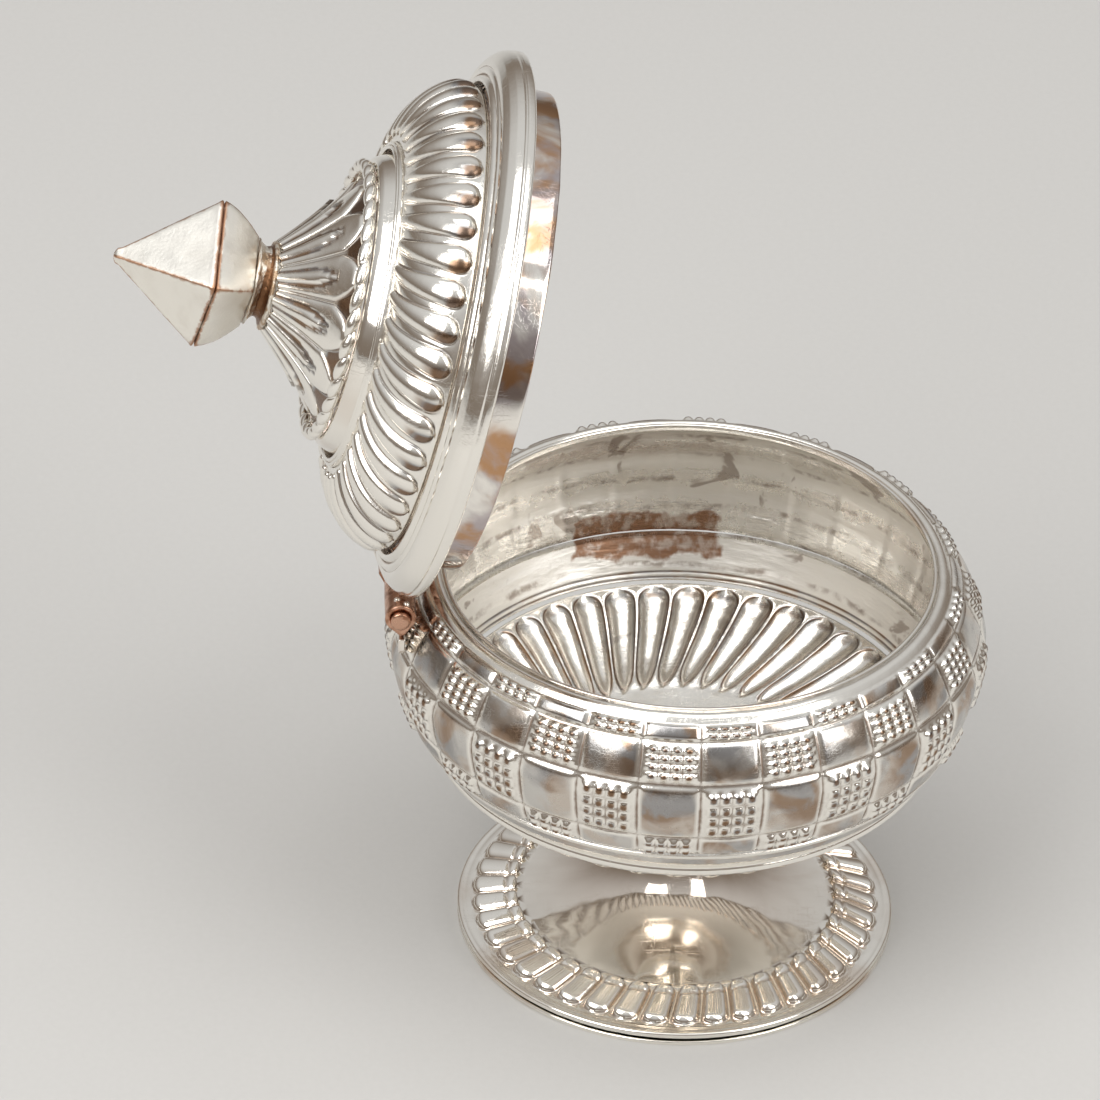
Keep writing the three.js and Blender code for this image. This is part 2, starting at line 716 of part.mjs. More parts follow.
const coneRadius = ropeRadius - ROPE_SIZE / 2 - SOLDER_GAP;
const coneFoot = ropeHeight - ROPE_SIZE * 0.2;
const coneTop = coneFoot + CONE_RISE;

// The hollow-sided cone under the finial, with lotus petals whose tips point down to the rope.
function petalCone() {
  const base = (share) => at(
    lerp(coneRadius, CONE_TOP_RADIUS, share),
    coneFoot + CONE_RISE * (0.85 * share + 0.15 * share ** 2 - 0.03 * Math.sin(Math.PI * share)),
  );
  const places = [0, 0.12, 0.3, 0.42, 0.58, 0.7, 0.88];
  const halfWidth = (share) => 0.5 * smooth(Math.min(share / 0.3, 1)) ** 0.6;
  const petal = (share) => {
    const points = [];
    const turns = [];
    const point = base(share);
    for (let i = 0; i < PETALS; i++) {
      for (const place of places) {
        const across = Math.abs(place - 0.5);
        const inLeaf = THREE.MathUtils.clamp((halfWidth(share) - across) / 0.12, 0, 1);
        const inBud = share > 0.35 ? THREE.MathUtils.clamp((0.2 - across) / 0.1, 0, 1) : 0;
        const lift = PETAL_RELIEF * (1 - 0.55 * share) * (inLeaf + inBud * 0.7);
        const turn = (i + place) / PETALS;
        turns.push(turn);
        points.push(polar(point.x + lift * 0.5, turn * 360, point.y + lift * 0.85));
      }
    }
    return { points, turns };
  };
  const outer = [0, 0.08, 0.22, 0.36, 0.5, 0.75].map(petal);
  const inner = [0.98, 0.7, 0.3, 0].map((share) => {
    const point = base(share);
    return plainLoop(PETALS * 2, point.x - LID_SHEET * 0.5, point.y - LID_SHEET * 0.85);
  });
  const top = base(1);
  return skin([...outer, plainLoop(PETALS * 2, top.x, top.y), ...inner]);
}

const neckLow = coneTop + SOLDER_GAP;
const neckHigh = neckLow + NECK_LENGTH;
const finialWaist = neckHigh + SOLDER_GAP + FINIAL_LOWER_HEIGHT;

// The short neck and its collar, which hold the finial on the cone.
function finialNeck() {
  return turnedSolid([
    at(0, neckLow),
    at(CONE_TOP_RADIUS, neckLow),
    at(CONE_TOP_RADIUS + NECK_DISC_OVERHANG, neckLow + NECK_LENGTH * 0.15),
    at(CONE_TOP_RADIUS - 3 * NECK_DISC_OVERHANG, neckLow + NECK_LENGTH * 0.28),
    at(NECK_RADIUS, neckLow + NECK_LENGTH * 0.42),
    at(NECK_RADIUS, neckLow + NECK_LENGTH * 0.8),
    at(NECK_RADIUS + NECK_FLARE, neckHigh),
    at(0, neckHigh),
  ], SMALL_ROUND);
}

function finialHalf(profile) {
  return turnedSolid(profile, 4).rotateZ(radians(FINIAL_TURN));
}

function finialLowerHalf() {
  const low = neckHigh + SOLDER_GAP;
  return finialHalf([
    at(0, low),
    at(NECK_RADIUS + FINIAL_FOOT_OVERHANG, low),
    at(FINIAL_RADIUS, finialWaist),
    at(0, finialWaist),
  ]);
}

function finialUpperHalf() {
  const low = finialWaist + SOLDER_GAP;
  const top = low + FINIAL_UPPER_HEIGHT;
  const tip = at(FINIAL_TIP_RADIUS, top - FINIAL_TIP_HEIGHT);
  return finialHalf([at(0, low), at(FINIAL_RADIUS, low), tip, at(0, top)]);
}

// The lid turns about the hinge axis. Its round parts are drawn about the lid's own centre.
const lidRound = new THREE.Group();
lidRound.position.set(0, -hingeRadius, lidPlane - hingeHeight);
lidRound.add(
  mesh("lid_flange", lidFlange(), POLISHED),
  mesh("lid_seat_ring", seatRing(), SILVER),
  mesh("lid_rim_band", rimBand(), SILVER),
  mesh("lid_dome", gadroonDome(), SILVER),
  mesh("lid_step_ring", stepRing(), SILVER),
  mesh("lid_plain_band", plainBand(), POLISHED),
  mesh("lid_rope_wire", ropeWire(), SILVER),
  mesh("lid_petal_cone", petalCone(), SILVER),
  mesh("finial_neck", finialNeck(), MATT_SILVER),
  mesh("finial_lower_half", finialLowerHalf(), MATT_SILVER),
  mesh("finial_upper_half", finialUpperHalf(), MATT_SILVER),
);

const lid = new THREE.Group();
lid.position.set(0, hingeRadius, hingeHeight);
lid.rotation.x = -radians(OPEN_ANGLE);
lid.add(
  lidRound,
  mesh("lid_knuckle", lidKnuckle(), WARM_HINGE),
  mesh("lid_hinge_leaf", lidLeaf(), SILVER),
);

const box = new THREE.Group();
box.add(
  mesh("foot_rim_wire", footWire(), SILVER),
  mesh("foot_dish", footSheet(), POLISHED),
  mesh("stem_collar", stemCollar(), SILVER),
  mesh("bowl_underside", flutedFloor(), SILVER),
  mesh("bowl_seam_ring", seamBand(), SILVER),
  mesh("bowl_wall", bowlWall(), SILVER),
  mesh("bowl_rim_wire", rimWire(), SILVER),
  mesh("bowl_hinge_leaf", bowlLeaf(), SILVER),
  mesh("bowl_knuckle_left", bowlKnuckle(-1), WARM_HINGE),
  mesh("bowl_knuckle_right", bowlKnuckle(1), WARM_HINGE),
  mesh("hinge_pin", hingePin(), WARM_HINGE),
  lid,
);

// The origin stands on the table under the middle of the open box.
const extent = new THREE.Box3().setFromObject(box, true);
const middle = extent.getCenter(new THREE.Vector3());
box.position.set(-middle.x, -middle.y, -extent.min.z);

const part = new THREE.Group();
part.add(box);
export default part;
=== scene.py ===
# %% [markdown]
# # A silver sindoor box in Blender
# A sindoor box holds red powder on a dressing table or in a household shrine. This one is silver sheet, raised and
# chased by hand: a round bowl in a chequer of squares, a spread foot, and a hinged dome lid under a small pyramid.
# The construction model is loaded first and gives every size. Each piece is then made again with the surface that
# the silversmith gave it, and hung on the body that it belongs to.

import json
import math
from types import SimpleNamespace

import bmesh
import bpy
import numpy as np
from mathutils import Matrix, Vector

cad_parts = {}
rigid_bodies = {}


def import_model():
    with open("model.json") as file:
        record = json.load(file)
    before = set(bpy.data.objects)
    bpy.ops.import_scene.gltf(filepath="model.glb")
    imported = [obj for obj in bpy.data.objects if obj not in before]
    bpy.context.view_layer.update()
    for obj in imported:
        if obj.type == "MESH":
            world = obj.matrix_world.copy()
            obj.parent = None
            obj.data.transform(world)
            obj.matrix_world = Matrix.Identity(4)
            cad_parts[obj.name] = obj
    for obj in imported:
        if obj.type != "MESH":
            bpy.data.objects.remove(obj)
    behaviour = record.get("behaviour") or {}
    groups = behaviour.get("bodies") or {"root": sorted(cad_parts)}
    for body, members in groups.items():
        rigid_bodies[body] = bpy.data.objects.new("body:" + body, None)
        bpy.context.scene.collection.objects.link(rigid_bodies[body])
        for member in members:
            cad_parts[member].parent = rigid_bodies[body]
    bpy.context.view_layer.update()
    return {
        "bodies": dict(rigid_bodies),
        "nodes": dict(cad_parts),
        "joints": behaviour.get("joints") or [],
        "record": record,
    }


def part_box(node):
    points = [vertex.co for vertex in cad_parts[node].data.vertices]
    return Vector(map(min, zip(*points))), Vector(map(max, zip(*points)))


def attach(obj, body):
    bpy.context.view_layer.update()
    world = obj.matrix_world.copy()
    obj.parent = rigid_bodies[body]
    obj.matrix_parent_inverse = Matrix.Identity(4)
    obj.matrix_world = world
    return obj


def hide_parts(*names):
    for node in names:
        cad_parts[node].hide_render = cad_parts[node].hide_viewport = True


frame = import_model()
MM = 0.001

# %% [markdown]
# ## The camera
# The photograph was taken from a little above, with a long lens, so near and far parts have almost the same scale.
# The camera is placed from the middle of the foot, and then turned a little until the box sits in the picture where
# the photograph has it. Turning the camera leaves the view of the box itself as it is, which moving it would not.

# %% Camera
CAMERA_HEADING = math.radians(-94.1)
CAMERA_ELEVATION = math.radians(35.695)
CAMERA_DISTANCE = 800 * MM
AIM_HEIGHT = 30 * MM
TURN_LEFT = math.radians(0.919)
TURN_UP = math.radians(0.622)
ROLL = math.radians(2.579)
LENS = 285.8
SENSOR = 36.0

foot_low, foot_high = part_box("foot_rim_wire")
foot_middle = (foot_low + foot_high) / 2


def linked(name, data):
    """A new object in the scene."""
    made = bpy.data.objects.new(name, data)
    bpy.context.collection.objects.link(made)
    return made


def turn_pair(a, b, angle):
    """Turns two square directions in their own plane, the first one towards the second."""
    return a * math.cos(angle) + b * math.sin(angle), b * math.cos(angle) - a * math.sin(angle)


right = Vector((math.cos(CAMERA_HEADING), math.sin(CAMERA_HEADING), 0))
away = Vector((-math.sin(CAMERA_HEADING), math.cos(CAMERA_HEADING), 0))
forward, upward = turn_pair(away, Vector((0, 0, 1)), -CAMERA_ELEVATION)
camera_place = Vector((foot_middle.x, foot_middle.y, AIM_HEIGHT)) - forward * CAMERA_DISTANCE
forward, right = turn_pair(forward, right, -TURN_LEFT)
forward, upward = turn_pair(forward, upward, TURN_UP)
right, upward = turn_pair(right, upward, ROLL)

camera_data = bpy.data.cameras.new("camera")
camera_data.lens = LENS
camera_data.sensor_width = SENSOR
camera_data.sensor_fit = "HORIZONTAL"
camera_data.clip_start = 0.01
camera = linked("camera", camera_data)
camera_axes = Matrix((right, upward, -forward)).transposed().to_4x4()
camera.matrix_world = Matrix.Translation(camera_place) @ camera_axes
bpy.context.scene.camera = camera
bpy.context.scene.view_settings.view_transform = "Standard"
print("camera at", [round(v, 3) for v in camera_place])

# %% [markdown]
# ## Two places to work in
# Silver of this kind is made round an axis: the bowl and foot stand on theirs, and the lid has its own, which leans
# back with the open lid. So every round piece is drawn upright about Z, as it would turn on a lathe, and moved to
# its place afterwards. The hinge of the construction model says how far the lid has swung.

# %% Places of the box and the lid
hinge = frame["joints"][0]
hinge_place = Vector(hinge["pos_m"])
open_angle = math.radians(hinge["range_deg"][1])
swing = Matrix.Translation(hinge_place) @ Matrix.Rotation(-open_angle, 4, "X") @ Matrix.Translation(-hinge_place)
lid_names = {node.name for node in frame["bodies"]["lid"].children}


def node_points(name):
    """The corners of a construction node. A lid node is swung shut first."""
    points = np.array([vertex.co for vertex in frame["nodes"][name].data.vertices])
    if name in lid_names:
        shut = np.array(swing.inverted())
        points = points @ shut[:3, :3].T + shut[:3, 3]
    return points


lid_level = node_points("lid_seat_ring")[:, 2].min()
box_place = Matrix.Translation((foot_middle.x, foot_middle.y, 0))
lid_place = swing @ Matrix.Translation((foot_middle.x, foot_middle.y, lid_level))


def ring(name):
    """The inner and outer radius of a round node and its lowest and highest level, about its own axis, in mm."""
    points = node_points(name) - np.array((foot_middle.x, foot_middle.y, 0))
    if name in lid_names:
        points[:, 2] -= lid_level
    radius = np.hypot(points[:, 0], points[:, 1]) / MM
    level = points[:, 2] / MM
    return SimpleNamespace(inner=radius.min(), outer=radius.max(), low=level.min(), high=level.max())


for name in ("bowl_wall", "foot_dish", "lid_dome"):
    print(name, vars(ring(name)))

# %% [markdown]
# ## One tree for everything that is worked in the round
# A silversmith divides the circle and repeats one stroke: thirty squares, forty-two ribs, twelve petals. The tree
# below does the same. It takes one slice as a mesh, sets copies of it round the axis and welds them. A plain ring is
# only a very thin slice repeated often. Then it dents the sheet a little, because hand-worked sheet is never quite
# true, and its reflections show that. Last it compares each point with the smoothed shape round it and stores how
# deep the point lies in a hollow, which the finishes use for dirt and wear.

# %% The tree
SMOOTHING_STEPS = 12
WELD_DISTANCE = 0.002 * MM
DENT_DETAIL = 1.5
DENT_GAIN = 4.0


def add_node(tree, kind, **settings):
    """A node of a tree with its settings. Inputs are given by name or number in `inputs`."""
    inputs = settings.pop("inputs", {})
    node = tree.nodes.new(kind)
    for key, value in settings.items():
        setattr(node, key, value)
    for key, value in inputs.items():
        if isinstance(value, bpy.types.NodeSocket):
            tree.links.new(value, node.inputs[key])
        else:
            node.inputs[key].default_value = value
    return node


def math_node(tree, operation, first, second=0.0, third=0.0, clamp=False):
    """The output of a Math node."""
    inputs = {0: first, 1: second, 2: third}
    return add_node(tree, "ShaderNodeMath", operation=operation, use_clamp=clamp, inputs=inputs).outputs[0]


def mix_color(tree, share, first, second):
    """A mix of two colours, which may be values or sockets."""
    return add_node(tree, "ShaderNodeMix", data_type="RGBA", inputs={0: share, 6: first, 7: second}).outputs[2]


def new_group(name, kind, inputs, outputs):
    """An empty node group with named sockets, and its input and output node."""
    group = bpy.data.node_groups.new(name, kind)
    for label, socket_type, default in inputs:
        socket = group.interface.new_socket(label, in_out="INPUT", socket_type=socket_type)
        if default is not None:
            socket.default_value = default
    for label, socket_type in outputs:
        group.interface.new_socket(label, in_out="OUTPUT", socket_type=socket_type)
    return group, group.nodes.new("NodeGroupInput"), group.nodes.new("NodeGroupOutput")


def build_round_tree():
    """Copies of a slice round Z, welded, dented, and marked with the depth of its hollows."""
    group, given, result = new_group(
        "work_in_the_round",
        "GeometryNodeTree",
        [
            ("Slice", "NodeSocketGeometry", None),
            ("Copies", "NodeSocketInt", 1),
            ("Dent Depth", "NodeSocketFloat", 0.0),
            ("Dent Width", "NodeSocketFloat", 5 * MM),
            ("Hollow Depth", "NodeSocketFloat", 0.1 * MM),
            ("Finish", "NodeSocketMaterial", None),
        ],
        [("Piece", "NodeSocketGeometry")],
    )
    given = given.outputs
    index = add_node(group, "GeometryNodeInputIndex").outputs[0]
    turn = math_node(group, "DIVIDE", math_node(group, "MULTIPLY", index, 2 * math.pi), given["Copies"])
    rotation = add_node(group, "ShaderNodeCombineXYZ", inputs={"Z": turn})
    points = add_node(group, "GeometryNodePoints", inputs={"Count": given["Copies"]})
    copies = add_node(group, "GeometryNodeInstanceOnPoints", inputs={
        "Points": points.outputs[0],
        "Instance": given["Slice"],
        "Rotation": rotation.outputs[0],
    })
    real = add_node(group, "GeometryNodeRealizeInstances", inputs={0: copies.outputs[0]})
    welded = add_node(group, "GeometryNodeMergeByDistance", inputs={0: real.outputs[0], "Distance": WELD_DISTANCE})

    normal = add_node(group, "GeometryNodeInputNormal").outputs[0]
    scale = math_node(group, "DIVIDE", 1.0, given["Dent Width"])
    noise = add_node(group, "ShaderNodeTexNoise", inputs={"Scale": scale, "Detail": DENT_DETAIL})
    depth = math_node(group, "MULTIPLY", math_node(group, "SUBTRACT", noise.outputs[0], 0.5), DENT_GAIN)
    depth = math_node(group, "MULTIPLY", depth, given["Dent Depth"])
    push = add_node(group, "ShaderNodeVectorMath", operation="SCALE", inputs={0: normal, "Scale": depth})
    dented = add_node(group, "GeometryNodeSetPosition", inputs={0: welded.outputs[0], "Offset": push.outputs[0]})

    place = add_node(group, "GeometryNodeInputPosition").outputs[0]
    blurred = {"Value": place, "Iterations": SMOOTHING_STEPS}
    smooth_place = add_node(group, "GeometryNodeBlurAttribute", data_type="FLOAT_VECTOR", inputs=blurred).outputs[0]
    gap = add_node(group, "ShaderNodeVectorMath", operation="SUBTRACT", inputs={0: smooth_place, 1: place}).outputs[0]
    rise = add_node(group, "ShaderNodeVectorMath", operation="DOT_PRODUCT", inputs={0: gap, 1: normal})
    marked = add_node(group, "GeometryNodeStoreNamedAttribute", data_type="FLOAT", domain="POINT", inputs={
        "Geometry": dented.outputs[0],
        "Name": "hollow",
        "Value": math_node(group, "DIVIDE", rise.outputs["Value"], given["Hollow Depth"]),
    })
    smooth = add_node(group, "GeometryNodeSetShadeSmooth", inputs={0: marked.outputs[0]})
    whole = add_node(group, "GeometryNodeRealizeInstances", inputs={0: smooth.outputs[0]})
    finished = add_node(group, "GeometryNodeSetMaterial", inputs={0: whole.outputs[0], "Material": given["Finish"]})
    group.links.new(finished.outputs[0], result.inputs["Piece"])
    return group


round_tree = build_round_tree()
print("tree", round_tree.name, "with", len(round_tree.nodes), "nodes")

# %% [markdown] ## From a slice to a finished piece The slice is a grid: its rows follow the outline of the sheet,
# up the outer side and down the inner side, and its columns go round.

# %% Making pieces
finishes = {}


def grid_mesh(name, points, closed, marks):
    """A mesh from a grid of points in mm, with named marks on the points. Where `closed`, the last row joins
    the first."""
    rows, columns = points.shape[:2]
    next_row = np.arange(1, rows + 1) % rows if closed else np.arange(1, rows)
    row = np.arange(len(next_row))[:, None]
    column = np.arange(columns - 1)[None, :]
    next_row = next_row[:, None]
    corners = ((row, column), (row, column + 1), (next_row, column + 1), (next_row, column))
    faces = np.stack([(line * columns + place).ravel() for line, place in corners], axis=1)
    mesh = bpy.data.meshes.new(name)
    mesh.from_pydata((points.reshape(-1, 3) * MM).tolist(), [], faces.tolist())
    for label, values in (marks or {}).items():
        values = np.broadcast_to(values, (rows, columns)).astype(np.float32).ravel()
        mesh.attributes.new(label, "FLOAT", "POINT").data.foreach_set("value", values)
    return mesh


def run_tree(piece, tree, **values):
    """Runs a node tree on an object and leaves the result as its plain mesh."""
    modifier = piece.modifiers.new("work", "NODES")
    modifier.node_group = tree
    sockets = {item.name: item.identifier for item in tree.interface.items_tree if item.in_out == "INPUT"}
    for label, value in values.items():
        modifier[sockets[label.replace("_", " ")]] = value
    bpy.context.view_layer.update()
    seen = piece.evaluated_get(bpy.context.evaluated_depsgraph_get())
    result = bpy.data.meshes.new_from_object(seen)
    piece.modifiers.clear()
    piece.data = result


def settle(piece, node, place):
    piece.data.transform(place)
    piece.data.update()
    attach(piece, "lid" if node in lid_names else "box")
    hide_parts(node)


def work_round(node, points, copies, finish, closed=True, marks=None, dent=0.02, dent_width=4.0, hollow=0.05,
               place=None):
    """A piece that is worked in the round: a grid of points in mm for one slice, and how often it repeats."""
    piece = linked(node + "_silver", grid_mesh(node, points, closed, marks))
    run_tree(
        piece,
        round_tree,
        Copies=copies,
        Dent_Depth=dent * MM,
        Dent_Width=dent_width * MM,
        Hollow_Depth=hollow * MM,
        Finish=finishes[finish],
    )
    settle(piece, node, place or (lid_place if node in lid_names else box_place))
    print(node, len(piece.data.polygons), "faces")
    return piece


# %% [markdown]
# ## Marks that several finishes share
# Old silver isn't one colour. Sulphur in the air turns it brown where no finger or cloth reaches, which is in the
# hollows that the tree has marked, and handling leaves fine scratches. These are node groups, built once: one puts
# out a mask of scratches, one a mask of dirt in hollows, one a slow change from patch to patch, and one a colour of
# three tones. Every finish takes them with its own values, in millimetres on the object's own coordinates.

# %% Shared groups
MM_PER_METRE = 1000.0
SCRATCH_RUNS = (((0.2, 0.1, 0.5), (0.06, 1, 1)), ((0.3, 0.9, 2.1), (1, 0.08, 1)))


def millimetres(tree, stretch=(1, 1, 1), turn=(0, 0, 0)):
    """The object's coordinates in mm, turned and stretched."""
    place = add_node(tree, "ShaderNodeTexCoord").outputs["Object"]
    return add_node(tree, "ShaderNodeMapping", inputs={
        "Vector": place,
        "Rotation": turn,
        "Scale": tuple(MM_PER_METRE * s for s in stretch),
    }).outputs[0]


def noise_node(tree, vector, scale, detail=2.0, distortion=0.0):
    """A noise value about a half, with features of about 1 / scale mm."""
    return add_node(tree, "ShaderNodeTexNoise", inputs={
        "Vector": vector,
        "Scale": scale,
        "Detail": detail,
        "Distortion": distortion,
    }).outputs[0]


def smooth_step(tree, value, low, high):
    """A smooth rise from 0 at `low` to 1 at `high`."""
    return add_node(tree, "ShaderNodeMapRange", interpolation_type="SMOOTHSTEP", inputs={
        "Value": value,
        "From Min": low,
        "From Max": high,
    }).outputs[0]


def shared_group(name, output, values, build):
    """A node group for the finishes. `values` are its inputs, and `build` adds its nodes and returns its output."""
    kinds = {float: "NodeSocketFloat", tuple: "NodeSocketColor"}
    inputs = [(label, kinds[type(value)], value) for label, value in values.items()]
    kind = "NodeSocketColor" if output == "Color" else "NodeSocketFloat"
    group, given, result = new_group(name, "ShaderNodeTree", inputs, [(output, kind)])
    group.links.new(build(group, given.outputs), result.inputs[output])
    return group


def scratch_lines(group, given):
    """Thin lines in two directions: a stretched noise is cut where it passes its middle value."""
    lines = []
    for turn, stretch in SCRATCH_RUNS:
        noise = noise_node(group, millimetres(group, stretch, turn), given["Fineness"], detail=1.0)
        away = math_node(group, "ABSOLUTE", math_node(group, "SUBTRACT", noise, 0.5))
        lines.append(math_node(group, "SUBTRACT", 1.0, math_node(group, "DIVIDE", away, given["Width"]), clamp=True))
    rubbed = smooth_step(group, noise_node(group, millimetres(group), 0.35, detail=1.0), 0.42, 0.62)
    return math_node(group, "MULTIPLY", math_node(group, "MAXIMUM", *lines), rubbed)


def hollow_dirt(group, given):
    """Dirt in hollows: the hollow mark, broken up by a fine noise, from 0 on what stands proud to 1 in the depth."""
    hollow = add_node(group, "ShaderNodeAttribute", attribute_name="hollow").outputs["Fac"]
    noise = noise_node(group, millimetres(group), 2.2, detail=3.0)
    wander = math_node(group, "MULTIPLY", math_node(group, "SUBTRACT", noise, 0.5), given["Breakup"])
    return smooth_step(group, math_node(group, "ADD", hollow, wander), given["Start"], given["Full"])


def slow_patches(group, given):
    """A slow change over the surface, from 0 to 1, with a finer cloud on top."""
    scale = math_node(group, "DIVIDE", 1.0, given["Size"])
    noise = noise_node(group, millimetres(group), scale, detail=4.0, distortion=0.6)
    return smooth_step(group, noise, given["Low"], given["High"])


def tones(group, given):
    """Three tones of one metal: bright, then dulled, then dark, by two masks."""
    color = mix_color(group, given["Dulled"], given["Bright"], given["Dull"])
    return mix_color(group, given["Darkened"], color, given["Dark"])


scratches_group = shared_group("fine_scratches", "Mask", {"Fineness": 3.0, "Width": 0.012}, scratch_lines)
dirt_group = shared_group("dirt_in_hollows", "Mask", {"Start": 0.15, "Full": 1.2, "Breakup": 0.5}, hollow_dirt)
patches_group = shared_group("patches", "Mask", {"Size": 6.0, "Low": 0.4, "High": 0.6}, slow_patches)
tone_group = shared_group("three_tones", "Color", {
    "Bright": (0.9, 0.9, 0.9, 1),
    "Dull": (0.4, 0.4, 0.4, 1),
    "Dark": (0.1, 0.1, 0.1, 1),
    "Dulled": 0.0,
    "Darkened": 0.0,
}, tones)
print("shared groups:", ", ".join(group.name for group in (scratches_group, dirt_group, patches_group, tone_group)))

# %% [markdown]
# ## The makings of a finish
# A finish is a metal with three things on it: a colour, a roughness and a fine relief. Each is made by a function
# that adds its nodes. The helpers here take the shared groups and the marks of a piece, and join their masks. The
# shader itself stays in each finish, because the groups only put out masks and colours.

# %% Finish helpers
BRIGHT_SILVER = (0.95, 0.92, 0.86, 1)
# DULL_SILVER also paints the dull reflection band on the foot, and BROWN_SILVER the painted reflections on bead tops
# and rib ends and the painted shade by the foot's lobes.
DULL_SILVER = (0.55, 0.37, 0.24, 1)
BROWN_SILVER = (0.20, 0.115, 0.065, 1)


def place_group(tree, group, **values):
    """A shared group in a finish, with its values."""
    return add_node(tree, "ShaderNodeGroup", node_tree=group, inputs=values).outputs[0]


def patches(tree, size, low, high):
    """Patches of about `size` mm, with their edges between two values of a noise."""
    return place_group(tree, patches_group, Size=size, Low=low, High=high)


def dirt(tree, start, full, breakup):
    """Dirt from a depth of hollow `start` on, and complete at `full`."""
    return place_group(tree, dirt_group, Start=start, Full=full, Breakup=breakup)


def scratches(tree, fineness, width):
    """Fine scratches all over the surface."""
    return place_group(tree, scratches_group, Fineness=fineness, Width=width)


def three_tones(tree, bright, dull, dark, dulled, darkened):
    """A colour from three tones and two masks."""
    return place_group(tree, tone_group, Bright=bright, Dull=dull, Dark=dark, Dulled=dulled, Darkened=darkened)


def mark(tree, name):
    """A named mark of the piece."""
    return add_node(tree, "ShaderNodeAttribute", attribute_name=name).outputs["Fac"]


def cloud(tree, scale, detail=3.0):
    """A noise over the surface."""
    return noise_node(tree, millimetres(tree), scale, detail)


def joined(tree, operation, *values):
    """Several values joined by one operation, such as their product or the largest of them."""
    value = values[0]
    for following in values[1:]:
        value = math_node(tree, operation, value, following)
    return value


def heaped(tree, base, *parts):
    """A base value with shares of masks on top of it."""
    for mask, amount in parts:
        base = math_node(tree, "MULTIPLY_ADD", mask, amount, base)
    return base


def metal(name, color, roughness, height, depth):
    """A finish. `color`, `roughness` and `height` add their nodes to its tree, and `depth` is the relief in mm."""
    finish = bpy.data.materials.new(name)
    finish.use_nodes = True
    tree = finish.node_tree
    shader = tree.nodes["Principled BSDF"]
    shader.inputs["Metallic"].default_value = 1.0
    tree.links.new(color(tree), shader.inputs["Base Color"])
    tree.links.new(roughness(tree), shader.inputs["Roughness"])
    bump = add_node(tree, "ShaderNodeBump", inputs={"Strength": 1.0, "Distance": depth * MM, "Height": height(tree)})
    tree.links.new(bump.outputs[0], shader.inputs["Normal"])
    return finish


# %% [markdown]
# ## Chased silver
# Most of the box has this finish: bright on what stands proud and brown in its hollows. Two marks of the pieces
# steer it. Up to about a half, the first of them dulls the silver to grey and warm brown, which on the crowns of
# the plain squares is a painted reflection of the dark surroundings. Near one it draws brown chased lines, and the
# brown bead tops and dark flanks at the rib ends, which are painted reflections too. The inside mark gives the bowl
# its soft inner face, with ripples where the punches have pushed the sheet in, broken dark lines, and one large
# brown stain.

# %% Chased silver
CHASED_DIRT = (0.2, 1.5, 0.7)
CHASED_SCRATCHES = (2.5, 0.02)
DARK_MARK_RANGE = (0.62, 0.95)
# Grey and warm brown of dulled silver; on the square crowns, bead tops and rib ends they are painted reflections.
GREY_DULL_AND_PAINTED_REFLECTION = (0.38, 0.37, 0.365, 1)
WARM_DULL_AND_PAINTED_REFLECTION = (0.36, 0.255, 0.18, 1)
RUST = (0.30, 0.13, 0.05, 1)
STAIN_PLACE = (("X", 2.0, 30.0), ("Y", -17.5, -3.1), ("Z", 23.9, 27.9))
STAIN_EDGE = 0.5
STAIN_WANDER = 4.0
RIPPLE_STRETCH = (0.3, 0.3, 1.5)
RIPPLE_GAIN = 12.0


def inner_lines(tree):
    """The broken dark lines inside the bowl."""
    wave = add_node(tree, "ShaderNodeTexWave", bands_direction="Z", inputs={
        "Vector": millimetres(tree),
        "Scale": 0.115,
        "Distortion": 3.2,
        "Detail": 4.0,
        "Detail Scale": 0.55,
    }).outputs[1]
    line = smooth_step(tree, wave, 0.82, 1.05)
    ragged = smooth_step(tree, cloud(tree, 1.3, 4.0), 0.30, 0.62)
    return joined(tree, "MULTIPLY", line, patches(tree, 3.2, 0.40, 0.62), ragged, mark(tree, "inside"))


def large_stain(tree):
    """The large brown stain low on the inner wall: a box of coordinates whose sides wander."""
    wander = math_node(tree, "SUBTRACT", cloud(tree, 0.3, 6.0), 0.5)
    axes = add_node(tree, "ShaderNodeSeparateXYZ", inputs={0: millimetres(tree)}).outputs
    mask = mark(tree, "inside")
    for axis, low, high in STAIN_PLACE:
        value = math_node(tree, "MULTIPLY_ADD", wander, STAIN_WANDER, axes[axis])
        beyond = smooth_step(tree, value, high - STAIN_EDGE, high)
        started = smooth_step(tree, value, low, low + STAIN_EDGE)
        mask = joined(tree, "MULTIPLY", mask, started, math_node(tree, "SUBTRACT", 1.0, beyond))
    grain = smooth_step(tree, cloud(tree, 0.9, 6.0), 0.32, 0.56)
    return math_node(tree, "MULTIPLY", mask, math_node(tree, "MULTIPLY_ADD", grain, 0.4, 0.5))


